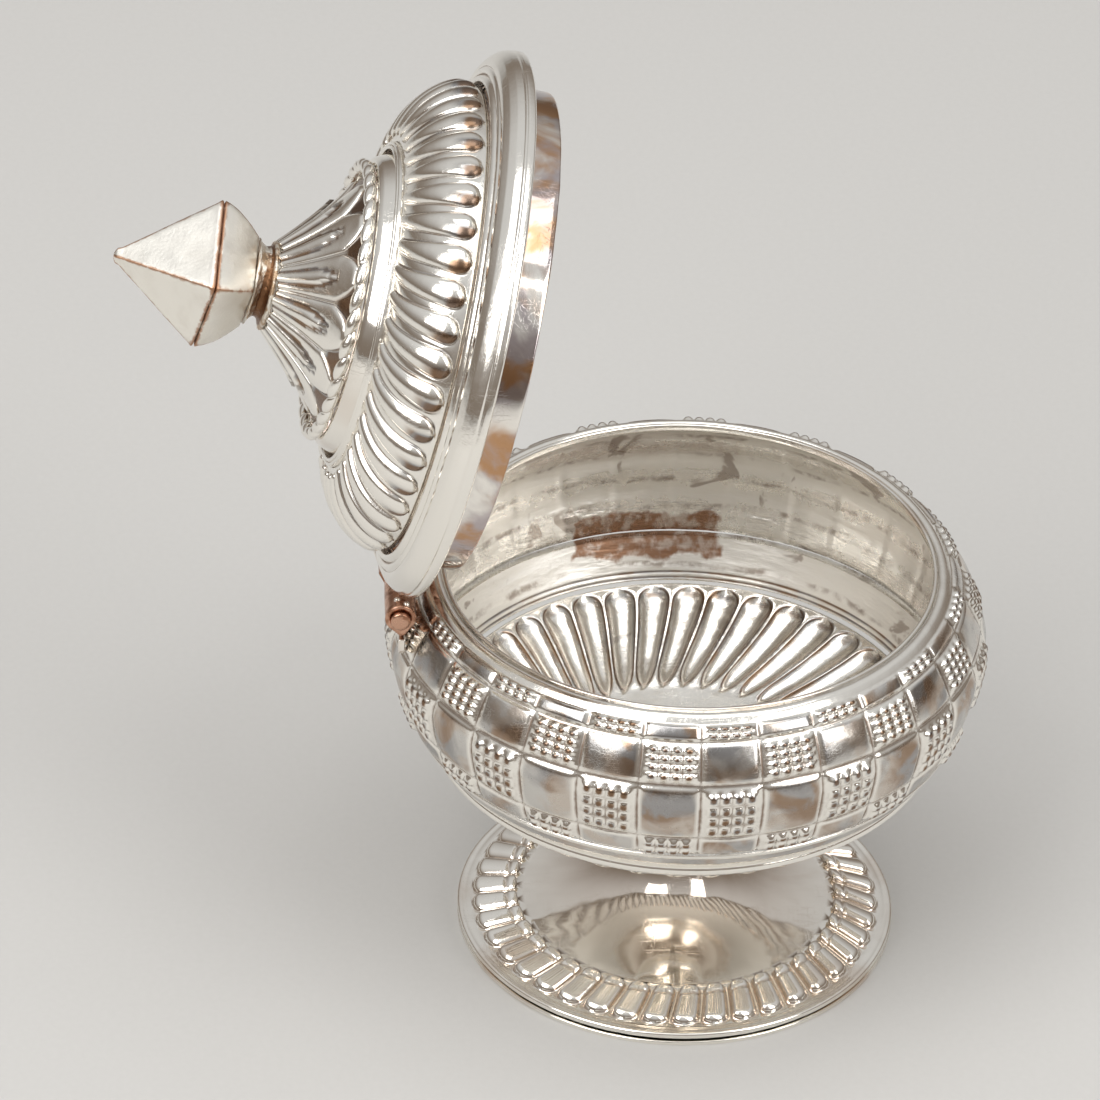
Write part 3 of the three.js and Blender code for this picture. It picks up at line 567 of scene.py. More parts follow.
def chased_color(tree):
    patina_and_painted_light, inside = mark(tree, "patina_and_painted_light"), mark(tree, "inside")
    patch = math_node(tree, "MULTIPLY_ADD", patches(tree, 5.0, 0.36, 0.62), 0.9, 0.9)
    # Painted reflection: the first mark dulls the crowns of the plain squares, the bead tops and the rib ends.
    dulled = math_node(tree, "MULTIPLY", patina_and_painted_light, patch, clamp=True)
    outside = math_node(tree, "SUBTRACT", 1.0, inside)
    darkened = joined(
        tree,
        "MAXIMUM",
        joined(tree, "MULTIPLY", dirt(tree, *CHASED_DIRT), outside, 0.85),
        # Near one the mark gives brown chased lines, and brown bead tops and rib-end flanks as painted reflections.
        joined(tree, "MULTIPLY", smooth_step(tree, patina_and_painted_light, *DARK_MARK_RANGE), 0.8),
        joined(tree, "MULTIPLY", patches(tree, 5.0, 0.64, 0.69), inside, 0.55),
        joined(tree, "MULTIPLY", inner_lines(tree), 0.7),
    )
    dull = mix_color(tree, patches(tree, 3.5, 0.44, 0.6), GREY_DULL_AND_PAINTED_REFLECTION, WARM_DULL_AND_PAINTED_REFLECTION)
    color = three_tones(tree, BRIGHT_SILVER, dull, BROWN_SILVER, dulled, darkened)
    return mix_color(tree, large_stain(tree), color, RUST)


def chased_roughness(tree):
    parts = [(cloud(tree, 0.5), 0.16), (dirt(tree, *CHASED_DIRT), 0.25), (scratches(tree, *CHASED_SCRATCHES), 0.12)]
    return heaped(tree, 0.06, *parts, (mark(tree, "patina_and_painted_light"), 0.12), (mark(tree, "inside"), 0.12))


def chased_height(tree):
    ripple = noise_node(tree, millimetres(tree, RIPPLE_STRETCH), 0.7, detail=3.0)
    ripple = math_node(tree, "MULTIPLY", ripple, mark(tree, "inside"))
    return heaped(tree, cloud(tree, 1.6), (scratches(tree, *CHASED_SCRATCHES), -0.15), (ripple, RIPPLE_GAIN))


finishes["chased"] = metal("chased_silver", chased_color, chased_roughness, chased_height, 0.012)

# %% [markdown]
# ## The other finishes
# Polished silver is the same metal with little dirt and long scratches, and the collar of the lid is polished silver
# under brown and lilac stains. The finial is matt, and its rubbed edges show copper. The hinge is a red metal, and
# the neck is rough with solder.

# %% Other finishes
POLISHED_SCRATCHES = (2.0, 0.015)
LILAC_STAIN = (0.48, 0.42, 0.43, 1)
ORANGE_STAIN = (0.50, 0.26, 0.11, 1)
MATT_TONES = ((0.96, 0.93, 0.86, 1), (0.72, 0.66, 0.58, 1), (0.45, 0.25, 0.15, 1))
COPPER_TONES = ((0.62, 0.37, 0.26, 1), (0.36, 0.18, 0.11, 1), (0.12, 0.06, 0.035, 1))
SOLDER_TONES = ((0.88, 0.84, 0.76, 1), (0.5, 0.36, 0.24, 1), (0.2, 0.1, 0.05, 1))


def stained_color(tree):
    dull = mix_color(tree, patches(tree, 5.0, 0.40, 0.56), LILAC_STAIN, ORANGE_STAIN)
    dulled = math_node(tree, "MULTIPLY", patches(tree, 7.0, 0.34, 0.54), 0.92)
    return three_tones(tree, BRIGHT_SILVER, dull, BROWN_SILVER, dulled, 0.0)


# Besides random dull patches, the mark here gives the foot a dull band on its sweep, a painted reflection, and dark
# crevices by its lobes, painted shade.
def polished_color(tree):
    patina_and_painted_light = mark(tree, "patina_and_painted_light")
    dulled = math_node(tree, "MAXIMUM", math_node(tree, "MULTIPLY", patches(tree, 11.0, 0.46, 0.72), 0.4), patina_and_painted_light)
    lines = math_node(tree, "MULTIPLY", smooth_step(tree, patina_and_painted_light, *DARK_MARK_RANGE), 0.85)
    darkened = math_node(tree, "MAXIMUM", math_node(tree, "MULTIPLY", dirt(tree, 0.35, 1.8, 0.6), 0.8), lines)
    return three_tones(tree, BRIGHT_SILVER, DULL_SILVER, BROWN_SILVER, dulled, darkened)


def polished_roughness(tree):
    return heaped(tree, 0.03, (cloud(tree, 0.25, 2.0), 0.1), (scratches(tree, *POLISHED_SCRATCHES), 0.18))


def polished_height(tree):
    return heaped(tree, cloud(tree, 0.6, 1.0), (scratches(tree, *POLISHED_SCRATCHES), -0.2))


def matt_color(tree):
    """Matt silver with its worn edges: the piece marks them, and a noise breaks them up."""
    patina_and_painted_light = mark(tree, "patina_and_painted_light")
    edge = math_node(tree, "MULTIPLY_ADD", math_node(tree, "SUBTRACT", cloud(tree, 1.3), 0.5), 1.6, patina_and_painted_light)
    worn = math_node(tree, "MULTIPLY", smooth_step(tree, edge, 0.35, 0.9), patina_and_painted_light)
    dulled = math_node(tree, "MULTIPLY", patches(tree, 5.0, 0.45, 0.75), 0.6)
    return three_tones(tree, *MATT_TONES, dulled, worn)


def copper_color(tree):
    return three_tones(tree, *COPPER_TONES, patches(tree, 1.4, 0.4, 0.62), dirt(tree, 0.1, 1.5, 0.9))


def solder_color(tree):
    return three_tones(tree, *SOLDER_TONES, patches(tree, 1.1, 0.42, 0.58), dirt(tree, -0.1, 1.0, 1.2))


def clouded(base, scale, amount):
    """A roughness with a cloud on it, as a function for `metal`."""
    return lambda tree: heaped(tree, base, (cloud(tree, scale), amount))


def rough_height(tree):
    return cloud(tree, 3.0, 4.0)


finishes["polished"] = metal("polished_silver", polished_color, polished_roughness, polished_height, 0.012)
finishes["stained"] = metal("stained_silver", stained_color, polished_roughness, polished_height, 0.012)
finishes["matt"] = metal("matt_silver", matt_color, clouded(0.3, 0.8, 0.2), rough_height, 0.02)
finishes["copper"] = metal("copper_hinge", copper_color, clouded(0.12, 1.2, 0.3), rough_height, 0.03)
finishes["solder"] = metal("solder", solder_color, clouded(0.2, 1.5, 0.3), rough_height, 0.15)

slot_finish = {"silver": "chased", "polished_silver": "polished", "matt_silver": "matt", "hinge_metal": "copper"}
for part in frame["record"]["subparts"]:
    slots = frame["nodes"][part["node"]].data.materials
    slots.clear()
    slots.append(finishes[slot_finish[part["material_slot"]]])
print("finishes:", ", ".join(finish.name for finish in finishes.values()))

# %% [markdown]
# ## Outlines
# An outline is a short list of corners in mm, radius first and level second. Real sheet has no knife edges, and the
# thin bright line along a softened edge is much of what makes metal look like metal, so each corner is rounded with
# a small arc. Long stretches are then cut into short steps, which gives the dents something to move.

# %% Outline helpers
RING_COPIES = 192
OUTLINE_STEP = 0.3


def rounded(corners, radius, arc_steps=4):
    """The corners of a closed outline, each replaced by a small arc, and long stretches cut into short ones."""
    corners = [np.array(corner[:2], float) for corner in corners]
    line = []
    for i, corner in enumerate(corners):
        before = corners[i - 1] - corner
        after = corners[(i + 1) % len(corners)] - corner
        reach_before, reach_after = np.linalg.norm(before), np.linalg.norm(after)
        reach = min(radius, 0.45 * reach_before, 0.45 * reach_after)
        start = corner + before / reach_before * reach
        end = corner + after / reach_after * reach
        for share in np.linspace(0, 1, arc_steps + 1):
            line.append((1 - share) ** 2 * start + 2 * share * (1 - share) * corner + share ** 2 * end)
    return refined(np.array(line), OUTLINE_STEP)


def refined(line, step):
    """A closed line with its long stretches cut into equal short ones."""
    points = []
    for start, end in zip(line, np.roll(line, -1, axis=0)):
        pieces = max(1, math.ceil(np.linalg.norm(end - start) / step))
        points.extend(start + (end - start) * share for share in np.arange(pieces) / pieces)
    return np.array(points)


def on_circle(radius, angle, level):
    """Points from a radius, an angle in degrees and a level, which may be arrays of one shape or broadcast to it."""
    radius, angle, level = np.broadcast_arrays(radius, np.radians(angle), level)
    return np.stack((radius * np.cos(angle), radius * np.sin(angle), level), axis=-1)


def swept(line, angles):
    """The points of an outline, carried round to each of the angles."""
    return on_circle(line[:, :1], angles, line[:, 1:])


def turned(node, line, finish, **options):
    """A plain turned piece from its closed outline, which runs up the outer side and down the inner side."""
    points = swept(line, np.array((0, 360 / RING_COPIES))[None, :])
    return work_round(node, points, RING_COPIES, finish, **options)


def plain_ring(node, rounding, **options):
    """A plain polished ring of rectangular section, as large as its node."""
    size = ring(node)
    outline = [(size.outer, size.low), (size.outer, size.high), (size.inner, size.high), (size.inner, size.low)]
    turned(node, rounded(outline, rounding), "polished", **options)


# %% Turned pieces of the bowl and foot
plain_ring("foot_rim_wire", 0.15, dent=0.01)

collar = ring("stem_collar")
collar_middle = (collar.low + collar.high) / 2
outline = [
    (collar.outer - 0.6, collar.low),
    (collar.outer, collar_middle - 0.4),
    (collar.outer, collar_middle + 0.1),
    (collar.outer - 0.5, collar.high - 0.2),
    (collar.inner, collar.high - 0.2),
    (collar.inner, collar.low),
]
turned("stem_collar", rounded(outline, 0.25), "polished")

# %% [markdown]
# ## The bowl's outline
# The bowl swells from the mouth to the belly and draws in again to the seam. Both halves are quarter turns of a
# fuller curve than a circle, so that the shoulder stays broad. Distances are measured along this outline, because
# the silversmith laid the squares out with dividers on the sheet, and not by their height above the table.

# %% Bowl outline
WALL_SHEET = 0.7
MOUTH_INSET = 4.1
SHOULDER_DROP = 7.2
SHOULDER_FULLNESS = 1.35
LOWER_TUCK = 3.7
LOWER_DROP = 9.9
LOWER_FULLNESS = 1.44

wall = ring("bowl_wall")
rim = ring("bowl_rim_wire")
belly_radius = round(wall.outer, 1)
belly_level = rim.high - SHOULDER_DROP


def quarter(turn, width, drop, fullness):
    """A quarter turn from the belly, with the way in and the way up or down at each turn from 0 to a right angle."""
    return width * (1 - np.cos(turn) ** (2 / fullness)), drop * np.sin(turn) ** (2 / fullness)


turns = np.linspace(0, math.pi / 2, 400)
inward, rise = quarter(turns, MOUTH_INSET, SHOULDER_DROP, SHOULDER_FULLNESS)
shoulder = np.stack((belly_radius - inward, belly_level + rise), axis=1)[::-1]
inward, drop = quarter(turns[1:], LOWER_TUCK, LOWER_DROP, LOWER_FULLNESS)
underbelly = np.stack((belly_radius - inward, belly_level - drop), axis=1)
bowl_line = np.concatenate((shoulder, underbelly))
bowl_length = np.concatenate(([0], np.cumsum(np.linalg.norm(np.diff(bowl_line, axis=0), axis=1))))
bowl_tangent = np.gradient(bowl_line, bowl_length, axis=0)


def along_bowl(distance):
    """Points of the bowl's outline at distances from the mouth, and the outward direction at each."""
    point = np.stack([np.interp(distance, bowl_length, bowl_line[:, k]) for k in (0, 1)], axis=-1)
    tangent = np.stack([np.interp(distance, bowl_length, bowl_tangent[:, k]) for k in (0, 1)], axis=-1)
    tangent /= np.linalg.norm(tangent, axis=-1, keepdims=True)
    return point, np.stack((-tangent[..., 1], tangent[..., 0]), axis=-1)


def bowl_distance(level):
    """The distance from the mouth, along the outline, at which the bowl has this level."""
    return float(np.interp(-level, -bowl_line[:, 1], bowl_length))


def bowl_radius(level):
    """The radius of the bowl at a level."""
    return float(np.interp(-level, -bowl_line[:, 1], bowl_line[:, 0]))


print("outline of", round(bowl_length[-1], 1), "mm, wall ends at", round(bowl_distance(wall.low), 1))

# %% [markdown]
# ## The chequered wall
# Thirty squares go round, in four rows, and every other one is stamped with four by four beads. One slice holds a
# plain and a beaded square of each row. A height is worked out for each point of the grid: a square rises steeply
# from the line round it, a plain one is crowned like a cushion, and a bead is a small cushion with a flat top.
# Modelled relief was chosen over a bump map, because the beads show on the outline of the bowl.

# %% Wall
TILE_COPIES = 15
TILE_ANGLE = 12
TILE_START = 84
ROW_LEVELS = (34.4, 28.4)
TILE_RELIEF = 0.22
TILE_CROWN = 0.12
TILE_EDGE = 0.38
BEAD_COUNT = 4
BEAD_HEIGHT = 0.36
BEAD_MARGIN = 0.10
BEAD_REACH = 0.98
BEAD_REFLECTION_SPOT = 0.5
LIP_WIDTH = 1.15
LIP_STEPS = (0.35, 0.6, 0.85, 1.05)
TOP_ROW = 2.8
RIPPLE = 0.07
RIPPLE_LENGTH = 4.2
GHOST = 0.05
GROOVE_SHARES = (0.0, 0.045)


def tile_steps(beads, steps):
    """Places across one tile, from 0 to 1: a few over each edge, and equal steps over the beads."""
    middle = BEAD_MARGIN + (1 - 2 * BEAD_MARGIN) * np.arange(beads * steps + 1) / (beads * steps)
    edge = np.array(GROOVE_SHARES)
    return np.concatenate((edge, middle, 1 - edge[::-1]))


def off_bead(share, beads):
    """How far a place across a tile is from the middle of its bead: 0 there, and 1 halfway to the next bead."""
    place = (share - BEAD_MARGIN) / (1 - 2 * BEAD_MARGIN) * beads
    inside = (place > 0) & (place < beads)
    return np.where(inside, np.abs(2 * (place % 1) - 1), 1)


def ease(share):
    """A smooth rise from 0 to 1."""
    share = np.clip(share, 0, 1)
    return share * share * (3 - 2 * share)


def tile_height(across, along, tile_width, tile_length, dotted, beads_along):
    """The height of a tile above the sheet at places across and along it."""
    edge = np.minimum(np.minimum(across, 1 - across) * tile_width, np.minimum(along, 1 - along) * tile_length)
    rise = ease(edge / TILE_EDGE)
    if dotted:
        away = np.hypot(off_bead(across, BEAD_COUNT), off_bead(along, beads_along))
        return TILE_RELIEF * rise + BEAD_HEIGHT * np.clip(1 - (away / BEAD_REACH) ** 2.4, 0, 1) ** 0.8
    crown = (1 - (2 * across - 1) ** 2) * (1 - (2 * along - 1) ** 2)
    return TILE_RELIEF * rise + TILE_CROWN * crown


def wall_slice():
    """The grid of one slice of the wall: two tiles wide, from its lower edge up over the lip and down inside."""
    across = tile_steps(BEAD_COUNT, 6)
    angles = np.concatenate((across, 1 + across[1:])) * TILE_ANGLE + TILE_START
    width = math.radians(TILE_ANGLE) * belly_radius
    row_ends = [LIP_WIDTH, TOP_ROW] + [bowl_distance(level) for level in (*ROW_LEVELS, wall.low)]
    rows_of_beads = [2, 4, 4, 2]
    distances, heights, painted_reflections = [], [], []
    for row, beads in enumerate(rows_of_beads):
        start, end = row_ends[row], row_ends[row + 1]
        along = tile_steps(beads, 6 if beads == 4 else 5)
        if row < 3:
            along = along[:-1]
        height, painted_reflection = [], []
        for tile in (0, 1):
            dotted = (row + tile) % 2 == 0
            part = tile_height(across[None, :], along[:, None], width, end - start, dotted, beads)
            away = np.hypot(off_bead(across, BEAD_COUNT)[None, :], off_bead(along, beads)[:, None])
            # Painted reflection: the bead tops and the crowns of the plain squares are marked, and the finish paints
            # them grey and brown as the dark surroundings would show in them.
            painted_tops = ease((BEAD_REFLECTION_SPOT + 0.1 - away) / 0.2) if dotted else 0.55 * ease((part - TILE_RELIEF) / 0.04)
            height.append(part[:, tile:])
            painted_reflection.append(painted_tops[:, tile:])
        distances.append(start + along * (end - start))
        heights.append(np.concatenate(height, axis=1))
        painted_reflections.append(np.concatenate(painted_reflection, axis=1))
    distance, height = np.concatenate(distances), np.concatenate(heights)
    point, outward = along_bowl(distance)
    outer = point[:, None, :] + outward[:, None, :] * height[..., None]

    lip = [(rim.outer + 0.05, rim.high - 0.3), (rim.outer + 0.08, rim.high - 0.08)]
    lip = np.concatenate((lip, along_bowl(np.array(LIP_STEPS))[0]))
    inner_distance = np.linspace(bowl_distance(rim.high - 0.6), bowl_distance(wall.low), 26)
    point, outward = along_bowl(inner_distance)
    ripple = RIPPLE * np.sin(inner_distance * 2 * math.pi / RIPPLE_LENGTH) * ease(inner_distance / 3)
    off_line = np.abs((angles - TILE_START + TILE_ANGLE / 2) % TILE_ANGLE - TILE_ANGLE / 2)
    ghost = GHOST * (1 - ease(off_line / 1.6))
    sheet = WALL_SHEET + ripple[:, None] - ghost[None, :] * ease(inner_distance / 5)[:, None]
    inner = point[:, None, :] - outward[:, None, :] * sheet[..., None]
    lip = np.broadcast_to(lip[:, None, :], (len(lip), len(angles), 2))
    plain = np.concatenate((inner[::-1], lip))
    line = np.concatenate((plain, outer))[::-1]
    painted_reflection = np.concatenate(painted_reflections)[::-1]
    bare = np.zeros((len(line) - len(painted_reflection), len(angles)))
    inside = np.arange(len(line))[:, None] >= len(line) - len(inner)
    marks = {"patina_and_painted_light": np.concatenate((painted_reflection, bare)), "inside": inside}
    return on_circle(line[..., 0], angles[None, :], line[..., 1]), marks


wall_points, wall_marks = wall_slice()
work_round("bowl_wall", wall_points, TILE_COPIES, "chased", marks=wall_marks, dent=0.03, dent_width=3.5, hollow=0.13)

# %% [markdown]
# ## The seam
# Below the squares a plain band covers the joint of wall and floor. It has a thread along its upper edge, a smooth
# hollow that mirrors whatever stands below, and a second thread where it laps over the floor. Its inner side goes on
# from the wall, with two fine lines above the floor.

# %% Seam band and rim wire
seam = ring("bowl_seam_ring")
SEAM_THREAD = 0.22
SEAM_INNER_LINES = (0.3, 0.75)
SEAM_INNER_DEPTH = 0.06
SHARP = 0.06


def on_seam(drop, out):
    """A point of the band, so far below its upper edge and so far out from the bowl's outline."""
    return bowl_radius(seam.high - drop) + out, seam.high - drop


outline = [
    (seam.inner + 0.55, seam.low),
    (seam.inner + 1.0, seam.low + 0.25),
    (seam.inner + 1.0, seam.low + 0.7),
    (seam.inner + 0.85, seam.low + 0.95),
    on_seam(1.6, 0.02),
    on_seam(0.6, 0.02),
    on_seam(0.5, SEAM_THREAD),
    on_seam(0, SEAM_THREAD),
    (bowl_radius(seam.high) - WALL_SHEET + SHARP, seam.high),
    on_seam(0, -WALL_SHEET),
    (bowl_radius(seam.high) - WALL_SHEET, seam.high - SHARP),
    on_seam(1.6, -WALL_SHEET),
    (seam.inner, seam.low),
]
seam_line = refined(rounded(outline, 0.2), 0.12)
outer_side = np.arange(len(seam_line)) < np.argmax(seam_line[:, 1])
between_threads = outer_side & (seam_line[:, 1] > seam.high - 1.65) & (seam_line[:, 1] < seam.high - 0.55)
inner_threads = np.zeros(len(seam_line))
for level in SEAM_INNER_LINES:
    inner_threads += ~outer_side * np.exp(-((seam_line[:, 1] - seam.low - level) / 0.09) ** 2)
seam_line[:, 0] += SEAM_INNER_DEPTH * inner_threads
marks = {"patina_and_painted_light": np.maximum(0.42 * between_threads, 0.95 * inner_threads)[:, None], "inside": ~outer_side[:, None]}
turned("bowl_seam_ring", seam_line, "chased", dent=0.03, marks=marks)
plain_ring("bowl_rim_wire", 0.18)

# %% [markdown]
# ## Lobes
# Ribs, flutes, gadroons and petals are all lobes: a raised or sunken leaf with a clear outline. On a square grid the
# outline would come out as a staircase. So the columns of the grid follow it instead: some share out the lobe from
# its middle line to its outline, and a few more share out the plain ground up to the next lobe.

# %% Lobe helpers
def lobe_columns(half, inside, outside):
    """Columns across a lobe whose half width in each row is given as a share of the pitch.

    Returns their places from -0.5 to 0.5, and their shares from 0 on the middle line to 1 on the outline and 2 at
    the next lobe."""
    half = half[:, None]
    inner = np.sin(np.linspace(0, 1, inside + 1) * math.pi / 2)[None, :]
    beside = np.linspace(0, 1, outside + 1)[None, 1:]
    place = np.concatenate((half * inner, half + (0.5 - half) * beside), axis=1)
    share = np.concatenate((inner, 1 + beside), axis=1) * np.ones_like(half)
    return mirrored(place, -1), mirrored(share, 1)


def mirrored(values, sign):
    """The values of one half and of its mirror image, with the middle once."""
    return np.concatenate((sign * values[:, :0:-1], values), axis=1)


def dome(share, fullness=2.0, power=0.5):
    """The section of a lobe: 1 in its middle and 0 on its outline and beyond."""
    return np.clip(1 - np.abs(share) ** fullness, 0, 1) ** power


def round_ends(along, start, end, start_length, end_length):
    """The width of a lobe with round ends, from 0 at each end to 1 between them."""
    first = np.clip((along - start) / start_length, 0, 1)
    last = np.clip((end - along) / end_length, 0, 1)
    return np.sqrt(np.clip(1 - (1 - first) ** 2, 0, 1)) * np.sqrt(np.clip(1 - (1 - last) ** 2, 0, 1))


def even_angles(place, count):
    """As many angles as a lobe has columns, equally spaced over one of `count` slices."""
    return np.linspace(0, 1, place.shape[1])[None, :] * 360 / count


def stacked(*parts):
    """The grid of a slice from its parts, each given with its patina, and the marks that go with it."""
    patina_and_painted_light = np.concatenate([np.broadcast_to(wear, part.shape[:2]) for part, wear in parts])
    return np.concatenate([part for part, _ in parts]), {"patina_and_painted_light": patina_and_painted_light}


def spaced(*stops):
    """Places along a lobe: pairs of an end and a number of steps, from 0."""
    places = [0.0]
    for end, steps in stops:
        places.extend(np.linspace(places[-1], end, steps + 1)[1:])
    return np.array(places)


# %% [markdown]
# ## The fluted floor
# Forty narrow spoons are pressed down into one sheet, so they show from above as hollows and from below as lobes
# that peep out under the seam. The inner side of the sheet follows the same spoons a sheet's thickness further down.
# They bend to one side as they run in, and between them stands a thin ridge with a dark line on either side. A
# dark crescent inside the round outer end of each spoon is painted shade.

# %% Floor
FLUTES = 40
FLUTE_DEPTH = 0.5
FLUTE_SWIRL = 9.5
FLUTE_START = 0.54
FLUTE_END = 0.985
FLUTE_HALF = 0.45
FLUTE_LINE = 0.2
FLOOR_SHEET = 0.7
FLOOR_INSIDE = 0.45

floor_sheet = ring("bowl_underside")
floor_low = floor_sheet.low + FLOOR_SHEET


def floor_level(radius):
    """The level of the dished floor between its flutes."""
    share = radius / floor_sheet.outer
    return floor_low + (floor_sheet.high - floor_low) * (0.25 * share + 0.75 * share ** 2)


def floor_slice():
    """One flute, from the middle of the underside out to the edge and back to the middle above."""
    along = spaced((FLUTE_START - 0.04, 5), (FLUTE_START + 0.1, 8), (0.84, 9), (0.988, 16), (1.0, 2))
    width = FLUTE_HALF * round_ends(along, FLUTE_START, FLUTE_END, 0.1, 0.06)
    width = np.maximum(width, 0.02)
    place, share = lobe_columns(width, 6, 2)
    depth = round_ends(along, FLUTE_START, FLUTE_END, 0.2, 0.06)[:, None] ** 0.7
    hollow = FLUTE_DEPTH * depth * dome(share, 2.0, 0.7)
    bead = 0.1 * np.exp(-((share - 1.5) / 0.3) ** 2) * (depth > 0)
    radius = along[:, None] * floor_sheet.outer
    bend = np.clip((1 - along[:, None]) / (1 - FLUTE_START), 0, 1.2) ** 1.8
    angle = (place + 0.5) * 360 / FLUTES + FLUTE_SWIRL * bend
    above = on_circle(radius, angle, floor_level(radius) - hollow + bead)
    below = on_circle(radius, angle, floor_level(radius) - hollow - FLOOR_SHEET)
    line = 0.95 * np.exp(-(((share - 1.02) / FLUTE_LINE) ** 2)) * (depth > 0)
    # Painted shade: a dark crescent inside the round outer end of each spoon.
    painted_shade_crescent = 0.7 * np.exp(-(((along[:, None] - 0.966) / 0.01) ** 2)) * ease((0.95 - share) / 0.2)
    patina_and_painted_light = np.maximum(line, painted_shade_crescent)
    points, marks = stacked((below, patina_and_painted_light), (above[::-1], patina_and_painted_light[::-1]))
    marks["inside"] = np.repeat((0, FLOOR_INSIDE), len(below))[:, None]
    return points, marks


points, marks = floor_slice()
options = {"closed": False, "marks": marks, "dent": 0.03, "dent_width": 3.0, "hollow": 0.5}
work_round("bowl_underside", points, FLUTES, "chased", **options)

# %% [markdown]
# ## The foot
# The foot is one spun sheet. Its flat edge stays plain, its border is struck with forty-one short lobes that lap
# over each other like shingles and have a crease across them, and from there it sweeps up to the stem as a mirror.
# The crevice beside each lobe is painted dark as painted shade, and a dull band on the middle of the sweep is a
# painted reflection of the bowl's dark underside.

# %% Foot
GADROONS = 41
GADROON_RELIEF = 0.62
GADROON_LEAN = 3.0
GADROON_HALF = 0.44
GADROON_CREASE = 0.74
BORDER_WIDTH = 4.2
BORDER_RISE = 1.1
FOOT_SHEET = 0.6
FLAT_EDGE = 1.35
FOOT_EDGE = ((0, -0.2), (0.06, -0.06), (0.2, 0), (0.45, 0.02), (0.62, -0.05), (0.78, 0.02))
FOOT_EASE = 0.15

foot = ring("foot_dish")
foot_top = foot.low + FOOT_SHEET
border_start = foot.outer - FLAT_EDGE
border_end = border_start - BORDER_WIDTH
stem_radius = foot.inner + FOOT_SHEET


def foot_slice():
    """One lobe of the border with its share of the edge and the sweep, up the outer side and down the inner side."""
    along = spaced((0.02, 1), (0.2, 8), (0.54, 6), (0.72, 8), (0.84, 3), (0.98, 8), (1.0, 1))
    width = np.maximum(GADROON_HALF * round_ends(along, 0.0, 1.0, 0.2, 0.12), 0.02)
    place, share = lobe_columns(width, 5, 2)
    rise = round_ends(along, 0.0, 1.0, 0.14, 0.1)[:, None]
    crease = 1 - 0.3 * np.exp(-((along[:, None] - GADROON_CREASE - 0.05 * place) / 0.035) ** 2)
    lap = 1 - 0.55 * place
    lift = GADROON_RELIEF * rise * crease * lap * dome(share, 3.0, 0.5)
    crevice = 0.16 * rise * np.exp(-(((share - 1.25) / 0.35) ** 2))
    radius = border_start - BORDER_WIDTH * along[:, None] + 0 * place
    level = foot_top + BORDER_RISE * along[:, None] + lift - crevice
    lean = GADROON_LEAN * along[:, None]
    border = on_circle(radius, (place + 0.5) * 360 / GADROONS + lean, level)

    edge = [(border_start, foot.low), (foot.outer - 0.1, foot.low), (foot.outer, foot.low + 0.12)]
    edge += [(foot.outer - inward, foot_top + up) for inward, up in FOOT_EDGE]
    edge = np.array(edge + [(border_start + FOOT_EASE, foot_top)])
    turn = np.linspace(0, math.pi / 2, 44)[1:]
    reach = border_end - FOOT_EASE - stem_radius
    climb = foot.high - foot_top - BORDER_RISE
    sweep = np.stack((
        border_end - FOOT_EASE - reach * np.sin(turn) ** 0.95,
        foot_top + BORDER_RISE + climb * (1 - np.cos(turn) ** 0.62),
    ), axis=1)
    tangent = np.gradient(sweep, axis=0)
    tangent /= np.linalg.norm(tangent, axis=1, keepdims=True)
    inner = (sweep + FOOT_SHEET * np.stack((-tangent[:, 1], tangent[:, 0]), axis=1))[::-3]
    inner[0] = (stem_radius - FOOT_SHEET, foot.high)
    angles = even_angles(place, GADROONS)
    lower = swept(edge, angles)
    trumpet, under = (swept(line, angles + GADROON_LEAN) for line in (sweep, inner))
    # Painted shade: dark in the crevice beside each lobe, stronger on one side.
    crevice = 0.95 * rise * np.exp(-(((share - 1.2) / 0.35) ** 2)) * (0.75 - 0.5 * place)
    crease_line = 0.6 * np.exp(-(((along[:, None] - GADROON_CREASE - 0.05 * place) / 0.02) ** 2)) * (share < 0.9)
    # Painted reflection: a dull band over the middle of the sweep, for the bowl's dark underside mirrored in it.
    painted_reflection_band = 0.32 * np.sin(math.pi * np.linspace(0.1, 0.9, len(trumpet)))[:, None]
    return stacked((lower, 0), (border, np.maximum(crevice, crease_line)), (trumpet, painted_reflection_band), (under, 0))


points, marks = foot_slice()
work_round("foot_dish", points, GADROONS, "polished", marks=marks, dent=0.03, dent_width=5.0, hollow=0.25)

# %% [markdown]
# ## The lid's rim
# The collar that drops into the mouth is a plain hoop of thin sheet. Round it lies the flat ring that rests on the
# bowl, and over that the moulded rim: a broad band, softly crowned, and two threads beside it. All three are turned
# pieces, drawn upright about the lid's own axis and swung open with the lid.

# %% Rim of the lid
flange = ring("lid_flange")
levels = (flange.low, 0.0, flange.high)
outline = [(flange.outer, level) for level in levels] + [(flange.inner, level) for level in levels[::-1]]
turned("lid_flange", rounded(outline, 0.2), "stained", dent=0.04, dent_width=5.0)

plain_ring("lid_seat_ring", 0.15, dent=0.01)

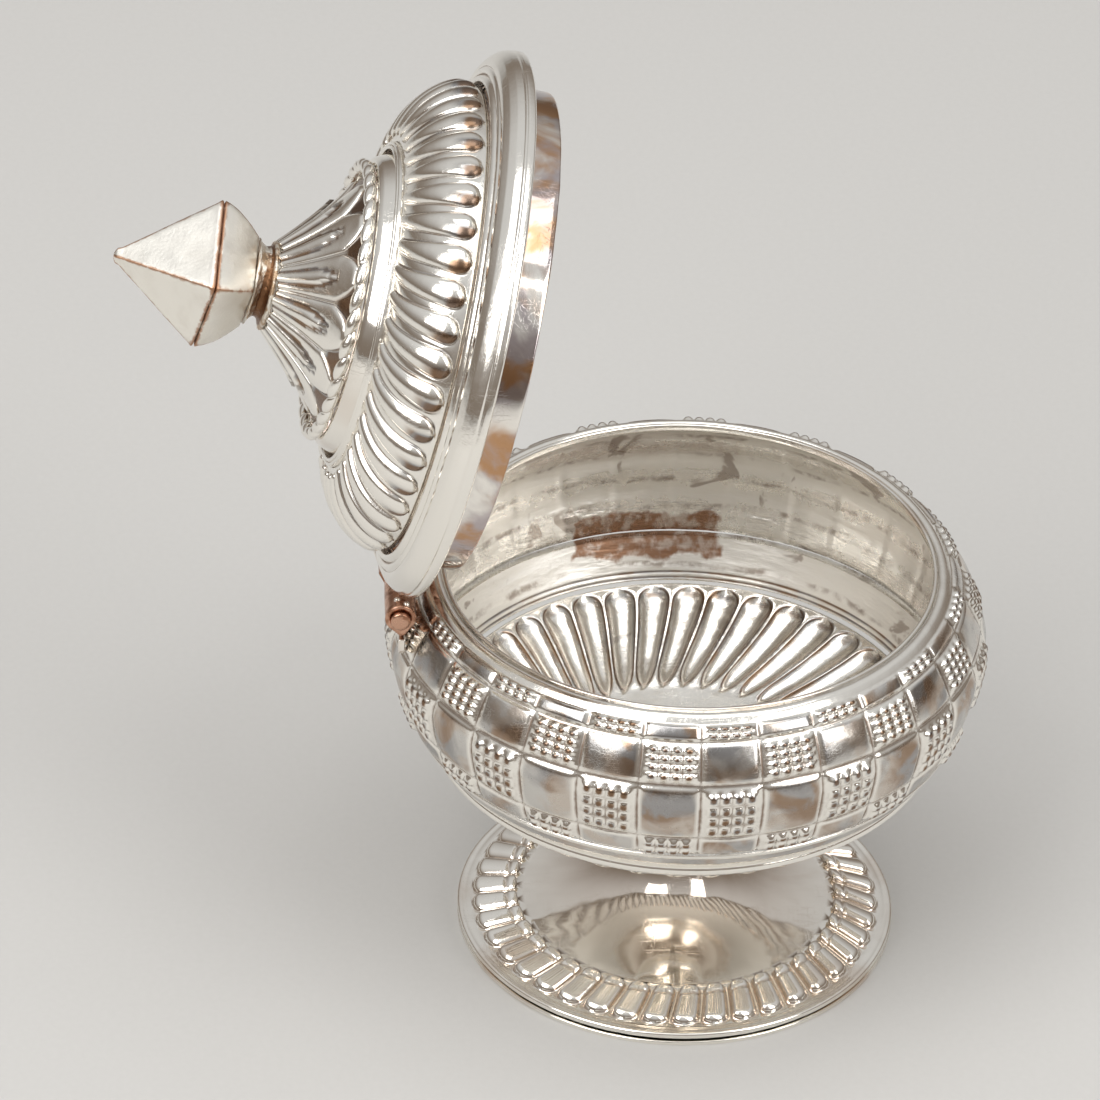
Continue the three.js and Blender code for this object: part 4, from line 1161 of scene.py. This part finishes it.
band = ring("lid_rim_band")
BAND_PROFILE = [
    (0.25, 0.0), (0.02, 0.15), (0.0, 0.72), (0.14, 0.86), (0.14, 0.98), (0.06, 1.12),
    (0.25, 1.7), (0.7, 2.3), (1.3, 2.75), (1.72, 2.88), (1.88, 2.78), (2.02, 3.0),
    (2.25, 3.12), (2.48, 3.06), (2.62, 2.86), (2.78, 3.2), (3.02, 3.44), (3.28, 3.4),
    (3.42, 3.1), (3.5, 2.75), (3.2, 2.45), (1.9, 2.1), (0.6, 0.9), (0.6, 0.0),
]
outline = [(band.outer - inward, level) for inward, level in BAND_PROFILE]
turned("lid_rim_band", rounded(outline, 0.1, arc_steps=3), "chased", dent=0.03, dent_width=6.0, hollow=0.04)

# %% [markdown]
# ## The ribbed dome
# Forty-two ribs are raised on the dome from inside, one punch stroke beside the next. Each has a broad round end at
# the rim and narrows like a comma towards the top, leaning over as it climbs, and a fine line is chased round it.
# The ground between the ribs stays flat and bright. One flank of each rib's round end is painted dark brown, a
# painted reflection of the dark ground.

# %% Dome
RIBS = 42
RIB_RELIEF = 0.62
RIB_LEAN = 3.0
RIB_HOOK = 6.0
RIB_START = 0.02
RIB_END = 0.93
RIB_HALF = (0.46, 0.24)
RIB_LINE = 0.07
LID_SHEET = 0.6
DOME_BULGE = 1.25
DOME_WALL = 0.5
DOME_GAP = 0.3

dome_node = ring("lid_dome")
step_node = ring("lid_step_ring")
dome_radius = band.inner - DOME_GAP
dome_top = step_node.low + LID_SHEET
dome_foot = dome_node.low


def dome_line(share):
    """The dome's outline from its foot at 0 to its top at 1, and the outward direction there."""
    turn = share * math.pi / 2
    radius = dome_node.inner + (dome_radius - dome_node.inner) * np.cos(turn) ** DOME_BULGE
    level = dome_foot + DOME_WALL + (dome_top - dome_foot - DOME_WALL) * np.sin(turn)
    return np.stack((radius, level), axis=-1), np.stack((np.cos(turn), np.sin(turn)), axis=-1)


def dome_slice():
    """One rib with its ground, up the outer side of the dome and down the inner side."""
    along = spaced((RIB_START, 1), (0.18, 11), (0.82, 26), (0.95, 12), (1.0, 2))
    taper = RIB_HALF[0] + (RIB_HALF[1] - RIB_HALF[0]) * along
    width = np.maximum(taper * round_ends(along, RIB_START, RIB_END, 0.17, 0.07), 0.02)
    place, share = lobe_columns(width, 6, 3)
    ends = round_ends(along, RIB_START, RIB_END, 0.16, 0.08)[:, None]
    lift = RIB_RELIEF * (1 - 0.35 * along[:, None]) * ends * dome(share, 2.0, 0.55)
    line = RIB_LINE * (ends > 0) * np.exp(-((np.abs(share) - 1.12) / 0.16) ** 2)
    point, outward = dome_line(along)
    outer = point[:, None, :] + outward[:, None, :] * (lift - line)[..., None]
    lean = RIB_LEAN * along + RIB_HOOK * along ** 3
    outer = on_circle(outer[..., 0], (place + 0.5) * 360 / RIBS + lean[:, None], outer[..., 1])

    point, outward = dome_line(np.linspace(1, 0, 14))
    inner = point - outward * LID_SHEET
    edge = [(dome_node.inner - 0.22, dome_top - 0.02), (dome_node.inner - 0.22, dome_top - LID_SHEET)]
    inner = np.concatenate((edge, inner, [(dome_radius - LID_SHEET, dome_foot), (dome_radius, dome_foot)]))
    turn = np.linspace(RIB_LEAN + RIB_HOOK, 0, len(inner))[:, None]
    inner = swept(inner, even_angles(place, RIBS) + turn)
    side = -place / width[:, None]
    # Painted reflection: one flank of each rib's round end is marked dark.
    end = 0.97 * ease((0.34 - along[:, None]) / 0.2) * ease((side + 0.15) / 0.5) * ease((1.05 - side) / 0.15)
    outline = (ends > 0) * np.exp(-((share - 1.1) / 0.13) ** 2)
    return stacked((outer, np.maximum(end * (ends > 0.25), 0.95 * outline)), (inner, 0))


points, marks = dome_slice()
work_round("lid_dome", points, RIBS, "chased", marks=marks, dent=0.03, dent_width=5.0, hollow=0.12)

# %% [markdown]
# ## Step, plain band and rope
# Above the ribs a double thread covers the joint of two sheets. Then comes a plain band, hollowed like a spool, and
# a rope. Twisted wires show as a row of short lobes that lean over. One slice is one lobe, whose creases are drawn
# once round the section and come out one lobe further on, where the next slice takes over.

# %% Step ring and plain band
STEP_THREADS = ((0, -0.5), (0.05, -0.25), (0.18, -0.15), (0.3, -0.25), (0.34, -0.33), (0.4, -0.1), (0.55, 0))
outline = [(step_node.outer, step_node.low)]
outline += [(step_node.outer - inward, step_node.high + up) for inward, up in STEP_THREADS]
outline += [(step_node.inner, step_node.high - 0.15), (step_node.inner, step_node.low)]
turned("lid_step_ring", rounded(outline, 0.08), "chased", hollow=0.03)

plain = ring("lid_plain_band")
upper_rise = plain.high - dome_top
SPOOL = [(0.2, -0.25), (-0.08, 0.12), (-0.28, 0.42), (-0.56, 0.78), (-0.88, 0.98), (-1.35, 1.0)]
upper_side = [(plain.outer + inward, dome_top + upper_rise * level) for inward, level in SPOOL]
lower_side = [(radius - 0.45, level - 0.4) for radius, level in reversed(upper_side)]
turned("lid_plain_band", rounded(upper_side + lower_side, 0.12), "polished", dent=0.03)

# %% Rope
ROPE_LOBES = 36
ROPE_SIZE = 1.22
ROPE_CREASE = 0.5
ROPE_OUT = 0.1

rope = ring("lid_rope_wire")
rope_radius = (rope.inner + rope.outer) / 2 + ROPE_OUT
rope_level = (rope.low + rope.high) / 2 + ROPE_OUT


def rope_slice():
    """One lobe of the rope. Its columns run along the creases, so they lean by one lobe in a turn of the section."""
    around = np.linspace(0, 1, 25)[:, None]
    step = np.linspace(0, 1, 13)[None, :]
    reach = ROPE_SIZE / 2 * (ROPE_CREASE + (1 - ROPE_CREASE) * np.sin(math.pi * step) ** 0.6)
    turn = around * 2 * math.pi
    angle = (step - around) * 360 / ROPE_LOBES
    return on_circle(rope_radius + reach * np.cos(turn), angle, rope_level + reach * np.sin(turn))


work_round("lid_rope_wire", rope_slice(), ROPE_LOBES, "chased", closed=False, dent=0.01, dent_width=1.5, hollow=0.08)

# %% [markdown]
# ## The cone of lotus petals
# Twelve petals hang down from the finial, tips towards the rope. Each is a leaf with a raised bud on its middle, and
# a line is chased round both. The ground shows only between two tips, as a small dark corner.

# %% Petal cone
PETALS = 12
PETAL_RELIEF = 0.34
PETAL_HALF = 0.475
PETAL_TIP = 0.04
BUD_RELIEF = 0.38
BUD_START = 0.36
BUD_HALF = 0.36
PETAL_LINE = 0.12
CONE_STRAIGHT = 0.85
CONE_HOLLOW = 0.03
CONE_RISE = 6.3
CONE_OUTWARD = (0.5, 0.86)

cone = ring("lid_petal_cone")
neck = ring("finial_neck")
cone_foot = cone.high - CONE_RISE
cone_top_radius = neck.outer - 0.1


def cone_line(share):
    """The cone's outline from its foot at 0 to its top at 1."""
    climb = CONE_STRAIGHT * share + (1 - CONE_STRAIGHT) * share ** 2 - CONE_HOLLOW * np.sin(math.pi * share)
    return np.stack((cone.outer + (cone_top_radius - cone.outer) * share, cone_foot + CONE_RISE * climb), axis=-1)


def cone_slice():
    """One petal, from the rope up to the neck and down again inside."""
    along = spaced((PETAL_TIP, 2), (0.2, 9), (0.5, 14), (0.97, 18), (1.0, 2))
    width = PETAL_HALF * np.clip((along - PETAL_TIP) / 0.3, 0, 1) ** 0.62
    width = np.where(along > 0.6, PETAL_HALF - 0.02 * (along - 0.6), width)
    place, share = lobe_columns(np.maximum(width, 0.02), 11, 3)
    along = along[:, None]
    across = np.abs(share)
    tip = ease((along - PETAL_TIP) / 0.08)
    fade = 1 - 0.45 * along
    leaf = PETAL_RELIEF * tip * fade * dome(np.minimum(across, 1), 3.0, 0.5)
    bud_width = BUD_HALF * np.sin(math.pi / 2 * np.clip((along - BUD_START) / 0.3, 0, 1)) ** 0.8 + 1e-4
    bud = BUD_RELIEF * fade * np.where(along > BUD_START, dome(across / bud_width, 2.0, 0.6), 0)
    beside_bud = np.exp(-((across - bud_width - 0.1) / 0.09) ** 2)
    line = PETAL_LINE * fade * np.where(along > BUD_START - 0.04, beside_bud, 0)
    beside_petal = np.exp(-((across - 1.1) / 0.12) ** 2) * tip
    lift = leaf + bud - line - 0.1 * beside_petal
    point = cone_line(along[:, 0])
    radius = point[:, :1] + CONE_OUTWARD[0] * lift
    level = point[:, 1:] + CONE_OUTWARD[1] * lift
    outer = on_circle(radius, (place + 0.5) * 360 / PETALS, level)
    inner = cone_line(np.linspace(1, 0, 12)) - LID_SHEET * np.array(CONE_OUTWARD)
    foot_edge = np.array([(cone.outer + 0.32, cone_foot - 0.3), (cone.outer + 0.32, cone_foot - 0.02)])
    inner = swept(np.concatenate((inner, foot_edge)), even_angles(place, PETALS))
    corner = 0.95 * ease((across - 1.0) / 0.12) * ease((0.34 - along) / 0.1)
    outlines = np.maximum(beside_petal, line > 0.3 * PETAL_LINE * fade)
    return stacked((outer, np.maximum(corner, 0.8 * outlines)), (inner, 0))


points, marks = cone_slice()
work_round("lid_petal_cone", points, PETALS, "chased", marks=marks, dent=0.03, dent_width=2.5, hollow=0.12)

# %% [markdown]
# ## The finial
# A thin disc and a short neck carry the finial, a pyramid of eight faces, made as two halves and soldered together.
# The neck is flooded with solder, more of it on the side that hung down. The halves are filed by hand: edges and
# tip are rounded, and the lower half bulges a little. Their section is a square whose corners are softened by
# adding a small amount under the root that makes each distance positive.

# %% Neck
SOLDER_SIDE = 262
SOLDER_RUN = 0.75
SOLDER_SPREAD = 55
NECK_WAIST = 2.9
NECK_EASE = 0.12
NECK_DISC = ((0, 0), (0.02, 0.12), (-0.1, 0.22), (-0.35, 0.28))
NECK_SWEEP = ((0.35, 0.4), (0.12, 0.6), (0, 0.85), (0.06, 1.05), (0.25, 1.25), (0.6, 1.5))


def solder_share(level):
    """How much solder lies at a level of the neck: none on the disc, most of it in the waist."""
    share = (level - neck.low) / (neck.high - neck.low)
    return ease(share / 0.5) * (1 - 0.45 * ease((share - 0.7) / 0.4))


def neck_line():
    """The neck's outline, from its middle below to its middle above."""
    below, above = neck.low - NECK_EASE, neck.high + NECK_EASE
    line = [(0.0, below), (neck.outer * 0.5, below), (neck.outer - NECK_EASE, below)]
    line += [(neck.outer + out, neck.low + up) for out, up in NECK_DISC]
    line += [(NECK_WAIST + out, neck.low + up) for out, up in NECK_SWEEP]
    return np.array(line + [(NECK_WAIST + 0.9, above), (NECK_WAIST * 0.5, above), (0.0, above)])


def neck_slice():
    """The neck all the way round, with the run of solder on one side."""
    angles = np.linspace(0, 360, 97)[None, :]
    line = neck_line()
    radius, level = line[:, :1], line[:, 1:]
    waist = solder_share(level)
    side = np.exp(-((((angles - SOLDER_SIDE + 180) % 360 - 180) / SOLDER_SPREAD) ** 2))
    return on_circle(radius + SOLDER_RUN * side * waist * (radius > 1.0), angles, level)


work_round("finial_neck", neck_slice(), 1, "solder", closed=False, dent=0.05, dent_width=1.2, hollow=0.05)

# %% Finial
FINIAL_CORNER = 0.035
WORN_WIDTH = 0.22
FINIAL_BULGE = 0.35
JOINT_EASE = 0.22
TIP_RADIUS = 0.82
TIP_DROP = 0.62
CAP_TURN = 38
CAP_WIDTH = 0.86
CAP_DROP = 0.28 / 0.212
LOWER_END = 4.15

lower = ring("finial_lower_half")
upper = ring("finial_upper_half")
finial_points = node_points("finial_upper_half") / MM
finial_points -= (foot_middle.x / MM, foot_middle.y / MM, lid_level / MM)
widest = finial_points[np.hypot(finial_points[:, 0], finial_points[:, 1]).argmax()]
finial_turn = math.degrees(math.atan2(widest[1], widest[0]))


def square_slice(line):
    """A quarter of a four-sided solid from its outline at the corner, with soft edges."""
    half = np.sin(np.linspace(0, 1, 13) * math.pi / 2) ** 1.6 * 45
    angles = np.concatenate((half, 90 - half[-2::-1]))[None, :]
    turn = np.radians(angles)
    across = np.sqrt(np.cos(turn) ** 2 + FINIAL_CORNER ** 2) + np.sqrt(np.sin(turn) ** 2 + FINIAL_CORNER ** 2)
    points = on_circle(line[:, :1] / (across - FINIAL_CORNER), angles + finial_turn, line[:, 1:])
    off_edge = np.minimum(turn, math.pi / 2 - turn) * line[:, :1]
    off_joint = np.minimum(np.abs(line[:, 1:] - upper.low), np.abs(line[:, 1:] - lower.high))
    wear = np.exp(-(off_edge / WORN_WIDTH) ** 2) + np.exp(-(off_joint / WORN_WIDTH) ** 2)
    return points, {"patina_and_painted_light": np.clip(wear, 0, 1)}


waist_gap = (upper.low - lower.high) / 2 - 0.03
joint = upper.low - waist_gap
upper_line = [(0.0, joint), (upper.outer * 0.6, joint), (upper.outer - JOINT_EASE, joint)]
upper_line += [(upper.outer - 0.05, joint + 0.06), (upper.outer, joint + 0.2)]
for share in np.linspace(0.05, 1, 26):
    radius = upper.outer + (TIP_RADIUS - upper.outer) * share
    upper_line.append((radius, upper.low + (upper.high - TIP_DROP - upper.low) * share))
cap_radius = TIP_RADIUS / math.sin(math.radians(CAP_TURN)) * CAP_WIDTH
for turn in np.radians(np.linspace(CAP_TURN, 0, 7)):
    upper_line.append((cap_radius * math.sin(turn), upper.high - CAP_DROP * (1 - math.cos(turn))))
points, marks = square_slice(np.array(upper_line))
work_round("finial_upper_half", points, 4, "matt", closed=False, marks=marks, dent=0.03, dent_width=4.0)

joint = lower.high + waist_gap
lower_line = [(0.0, lower.low - 0.05), (2.2, lower.low - 0.05)]
for share in np.linspace(0, 1, 18)[::-1]:
    radius = lower.outer - 0.02 - (lower.outer - LOWER_END) * share + FINIAL_BULGE * np.sin(math.pi * share)
    lower_line.append((radius, lower.high - (lower.high - lower.low) * share))
lower_line += [(lower.outer - 0.05, joint - 0.08), (lower.outer - JOINT_EASE, joint)]
lower_line += [(lower.outer * 0.5, joint), (0.0, joint)]
points, marks = square_slice(np.array(lower_line))
work_round("finial_lower_half", points, 4, "matt", closed=False, marks=marks, dent=0.05, dent_width=2.5)

# %% [markdown]
# ## The hinge
# Three tubes are rolled from strip and threaded on one pin: two belong to the bowl, the middle one to the lid. Each
# keeps the end of its strip as a tail, which gives the section the shape of a spade on a playing card. The outline
# of a tube is drawn in Y and Z about the pin, and run along X. Its ends are eased, because a file has been over them.

# %% Tubes
TUBE_SECTION = 60
TUBE_EASE = 0.12
TUBE_STEP = 0.5
BORE_RADIUS = 0.73
TAIL_ROUNDING = 0.25
TAIL_LENGTH = {"bowl": 2.1, "lid": 2.25}
TAIL_ANGLE = {"bowl": 265, "lid": 103}

pin_low, pin_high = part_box("hinge_pin")
pin_place = (pin_low + pin_high) / 2
tube_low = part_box("bowl_knuckle_left")[0]
tube_radius = (pin_place.y - tube_low.y) / MM


def tube_outline(radius, tail, tail_angle):
    """The section of a tube: a circle that runs out into a tail. Angles run once round."""
    angles = np.linspace(0, 360, TUBE_SECTION, endpoint=False) + tail_angle
    spread = math.acos(radius / tail)
    reach = []
    for angle in np.radians(angles - tail_angle):
        turn = abs((angle + math.pi) % (2 * math.pi) - math.pi)
        if turn >= spread:
            reach.append(radius)
        else:
            reach.append(min(radius / math.cos(spread - turn), tail - TAIL_ROUNDING * (1 - turn / spread) ** 4))
    reach = np.array(reach)
    turn = np.radians(angles)
    return np.stack((reach * np.cos(turn), reach * np.sin(turn)), axis=1)


def tube(node, body, place):
    """A hinge tube in the place of its node. The lid's tube is drawn with the lid shut and swung open."""
    points = node_points(node)
    start, end = points[:, 0].min() / MM, points[:, 0].max() / MM
    near_end = [
        (start + TUBE_EASE, 0, True),
        (start, 0, True),
        (start, TUBE_EASE, False),
        (start + TUBE_EASE * 0.3, TUBE_EASE * 0.3, False),
        (start + TUBE_EASE, 0, False),
    ]
    steps = max(2, round((end - start) / TUBE_STEP))
    middle = [(x, 0, False) for x in np.linspace(start + TUBE_EASE, end - TUBE_EASE, steps + 1)[1:-1]]
    far_end = [(start + end - x, inset, bore) for x, inset, bore in reversed(near_end)]
    outline = tube_outline(tube_radius, TAIL_LENGTH[body], TAIL_ANGLE[body])
    reach = np.linalg.norm(outline, axis=1, keepdims=True)
    rows = []
    for x, inset, bore in near_end + middle + far_end:
        section = outline / reach * BORE_RADIUS if bore else outline * (1 - inset / reach)
        rows.append(np.column_stack((np.full(len(section), x), section)))
    grid = np.array(rows)
    grid = np.concatenate((grid, grid[:, :1]), axis=1)
    work_round(node, grid, 1, "copper", place=place, dent=0.03, dent_width=1.5)


pin_axis = Matrix.Translation((0, pin_place.y, pin_place.z))
tube("bowl_knuckle_left", "bowl", pin_axis)
tube("bowl_knuckle_right", "bowl", pin_axis)
tube("lid_knuckle", "lid", swing @ pin_axis)

# %% [markdown]
# ## The pin
# The pin is a turned piece lying on its side. Both ends are hammered over into low heads. It is drawn upright, from
# the middle of one end to the middle of the other, and laid along X.

# %% Pin
HEAD_RADIUS = 0.92
PIN_RADIUS = 0.65
half_pin = (pin_high.x - pin_low.x) / 2 / MM
tube_end = abs(tube_low.x) / MM
line = [(0.0, -half_pin + 0.12), (0.35, -half_pin + 0.11), (0.62, -half_pin + 0.13), (0.78, -half_pin + 0.17)]
line += [(HEAD_RADIUS - 0.04, -half_pin + 0.25), (HEAD_RADIUS, -tube_end - 0.05), (PIN_RADIUS, -tube_end - 0.04)]
line += [(PIN_RADIUS, level) for level in np.linspace(-tube_end + 0.3, tube_end - 0.3, 16)]
line += [(radius, -level) for radius, level in reversed(line[:7])]
grid = swept(np.array(line), np.linspace(0, 360, 49)[None, :])
laid = pin_axis @ Matrix.Rotation(math.pi / 2, 4, "Y")
work_round("hinge_pin", grid, 1, "copper", closed=False, place=laid, dent=0.02, dent_width=0.8)

# %% [markdown]
# ## Leaves and solder
# The two flat leaves keep the shape of the construction model, with their edges eased by a bevel. Two beads of
# solder sit on the tube next to the camera, where the joint was run.

# %% Leaves and beads
LEAF_EASE = 0.1
LEAF_CREASE = math.radians(25)
BEAD_SIZE = 0.3 * MM
BEAD_SINK = 0.06
SOLDER_BEADS = (("solder_bead_near", 0.5, 112), ("solder_bead_far", 1.1, 76))


def polished_piece(name, shape):
    """A smooth polished object from a bmesh, which is freed."""
    mesh = bpy.data.meshes.new(name)
    shape.to_mesh(mesh)
    shape.free()
    mesh.materials.append(finishes["polished"])
    for face in mesh.polygons:
        face.use_smooth = True
    return linked(name, mesh)


def eased_leaf(node):
    """A copy of a construction node with its edges eased."""
    shape = bmesh.new()
    shape.from_mesh(frame["nodes"][node].data)
    bmesh.ops.remove_doubles(shape, verts=shape.verts, dist=0.001 * MM)
    bmesh.ops.dissolve_limit(shape, angle_limit=math.radians(1), verts=shape.verts, edges=shape.edges)
    sharp = [edge for edge in shape.edges if edge.calc_face_angle(0) > LEAF_CREASE]
    bmesh.ops.bevel(shape, geom=sharp, offset=LEAF_EASE * MM, segments=3, profile=0.5, affect="EDGES")
    bmesh.ops.triangulate(shape, faces=[face for face in shape.faces if len(face.verts) > 4])
    piece = polished_piece(node + "_silver", shape)
    settle(piece, node, Matrix.Identity(4))
    print(node, len(piece.data.polygons), "faces")


def solder_bead(name, along_tube, angle):
    """A bead of solder on the hinge tube, so far along it in mm and at this angle round it."""
    turn = math.radians(angle)
    reach = (tube_radius - BEAD_SINK) * MM
    along, across, up = along_tube * MM, reach * math.cos(turn), reach * math.sin(turn)
    middle = Vector((tube_low.x + along, pin_place.y + across, pin_place.z + up))
    shape = bmesh.new()
    bmesh.ops.create_icosphere(shape, subdivisions=3, radius=BEAD_SIZE)
    for vertex in shape.verts:
        vertex.co *= 1 + 0.12 * math.sin(9 * vertex.co.x / BEAD_SIZE + angle) * (vertex.co.z / BEAD_SIZE)
        vertex.co += middle
    bead = polished_piece(name, shape)
    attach(bead, "box")


eased_leaf("bowl_hinge_leaf")
eased_leaf("lid_hinge_leaf")
for bead in SOLDER_BEADS:
    solder_bead(*bead)

# %% [markdown]
# ## The studio
# Metal has no look of its own: it shows what stands round it. The box stands on a plain pale floor that is large
# enough to fill every reflection from below. Three wide soft lamps hang to the left, to the right and above, and
# show in the silver as broad bright shapes. Between them the room is darker towards the horizon, so that each curve
# has a dark edge to set off the bright one.

# %% Studio floor
FLOOR_HALF = 3.0
CARD_TONES = ((0.545, 0.535, 0.515, 1), (0.575, 0.565, 0.545, 1))
floor_mesh = bpy.data.meshes.new("floor")
corners = [(FLOOR_HALF * x, FLOOR_HALF * y, 0) for x, y in ((-1, -1), (1, -1), (1, 1), (-1, 1))]
floor_mesh.from_pydata(corners, [], [(0, 1, 2, 3)])
floor = linked("floor", floor_mesh)

card = bpy.data.materials.new("pale_card")
card.use_nodes = True
tree = card.node_tree
tone = mix_color(tree, noise_node(tree, millimetres(tree), 1.5, detail=4.0), *CARD_TONES)
shader = tree.nodes["Principled BSDF"]
shader.inputs["Roughness"].default_value = 0.85
shader.inputs["Specular IOR Level"].default_value = 0.2
tree.links.new(tone, shader.inputs["Base Color"])
floor_mesh.materials.append(card)
print("floor", 2 * FLOOR_HALF, "m wide")

# %% Room and lamps
HORIZON = (0.21, 0.175, 0.145, 1)
ZENITH = (0.62, 0.62, 0.62, 1)
LAMP_AIM = Vector((0, 0, 0.04))
world = bpy.data.worlds.new("room")
bpy.context.scene.world = world
world.use_nodes = True
tree = world.node_tree
direction = add_node(tree, "ShaderNodeTexCoord").outputs["Generated"]
climb = add_node(tree, "ShaderNodeSeparateXYZ", inputs={0: direction}).outputs["Z"]
sky = mix_color(tree, smooth_step(tree, climb, 0.05, 0.85), HORIZON, ZENITH)
tree.links.new(sky, tree.nodes["Background"].inputs["Color"])


def lamp(name, place, width, height, power):
    """A soft rectangular lamp that points at the box."""
    data = bpy.data.lights.new(name, "AREA")
    data.shape = "RECTANGLE"
    data.size = width
    data.size_y = height
    data.energy = power
    aim = (LAMP_AIM - Vector(place)).to_track_quat("-Z", "Y").to_matrix().to_4x4()
    linked(name, data).matrix_world = Matrix.Translation(place) @ aim
    print(name, "radiance", round(power / (math.pi * width * height), 2))


lamp("left_window", (-0.46, 0.46, 0.66), 0.6, 0.6, 4.0)
lamp("right_window", (-0.46, -0.52, 0.50), 0.4, 0.6, 2.2)
lamp("ceiling", (-0.1, 0.0, 0.95), 0.8, 0.6, 2.9)
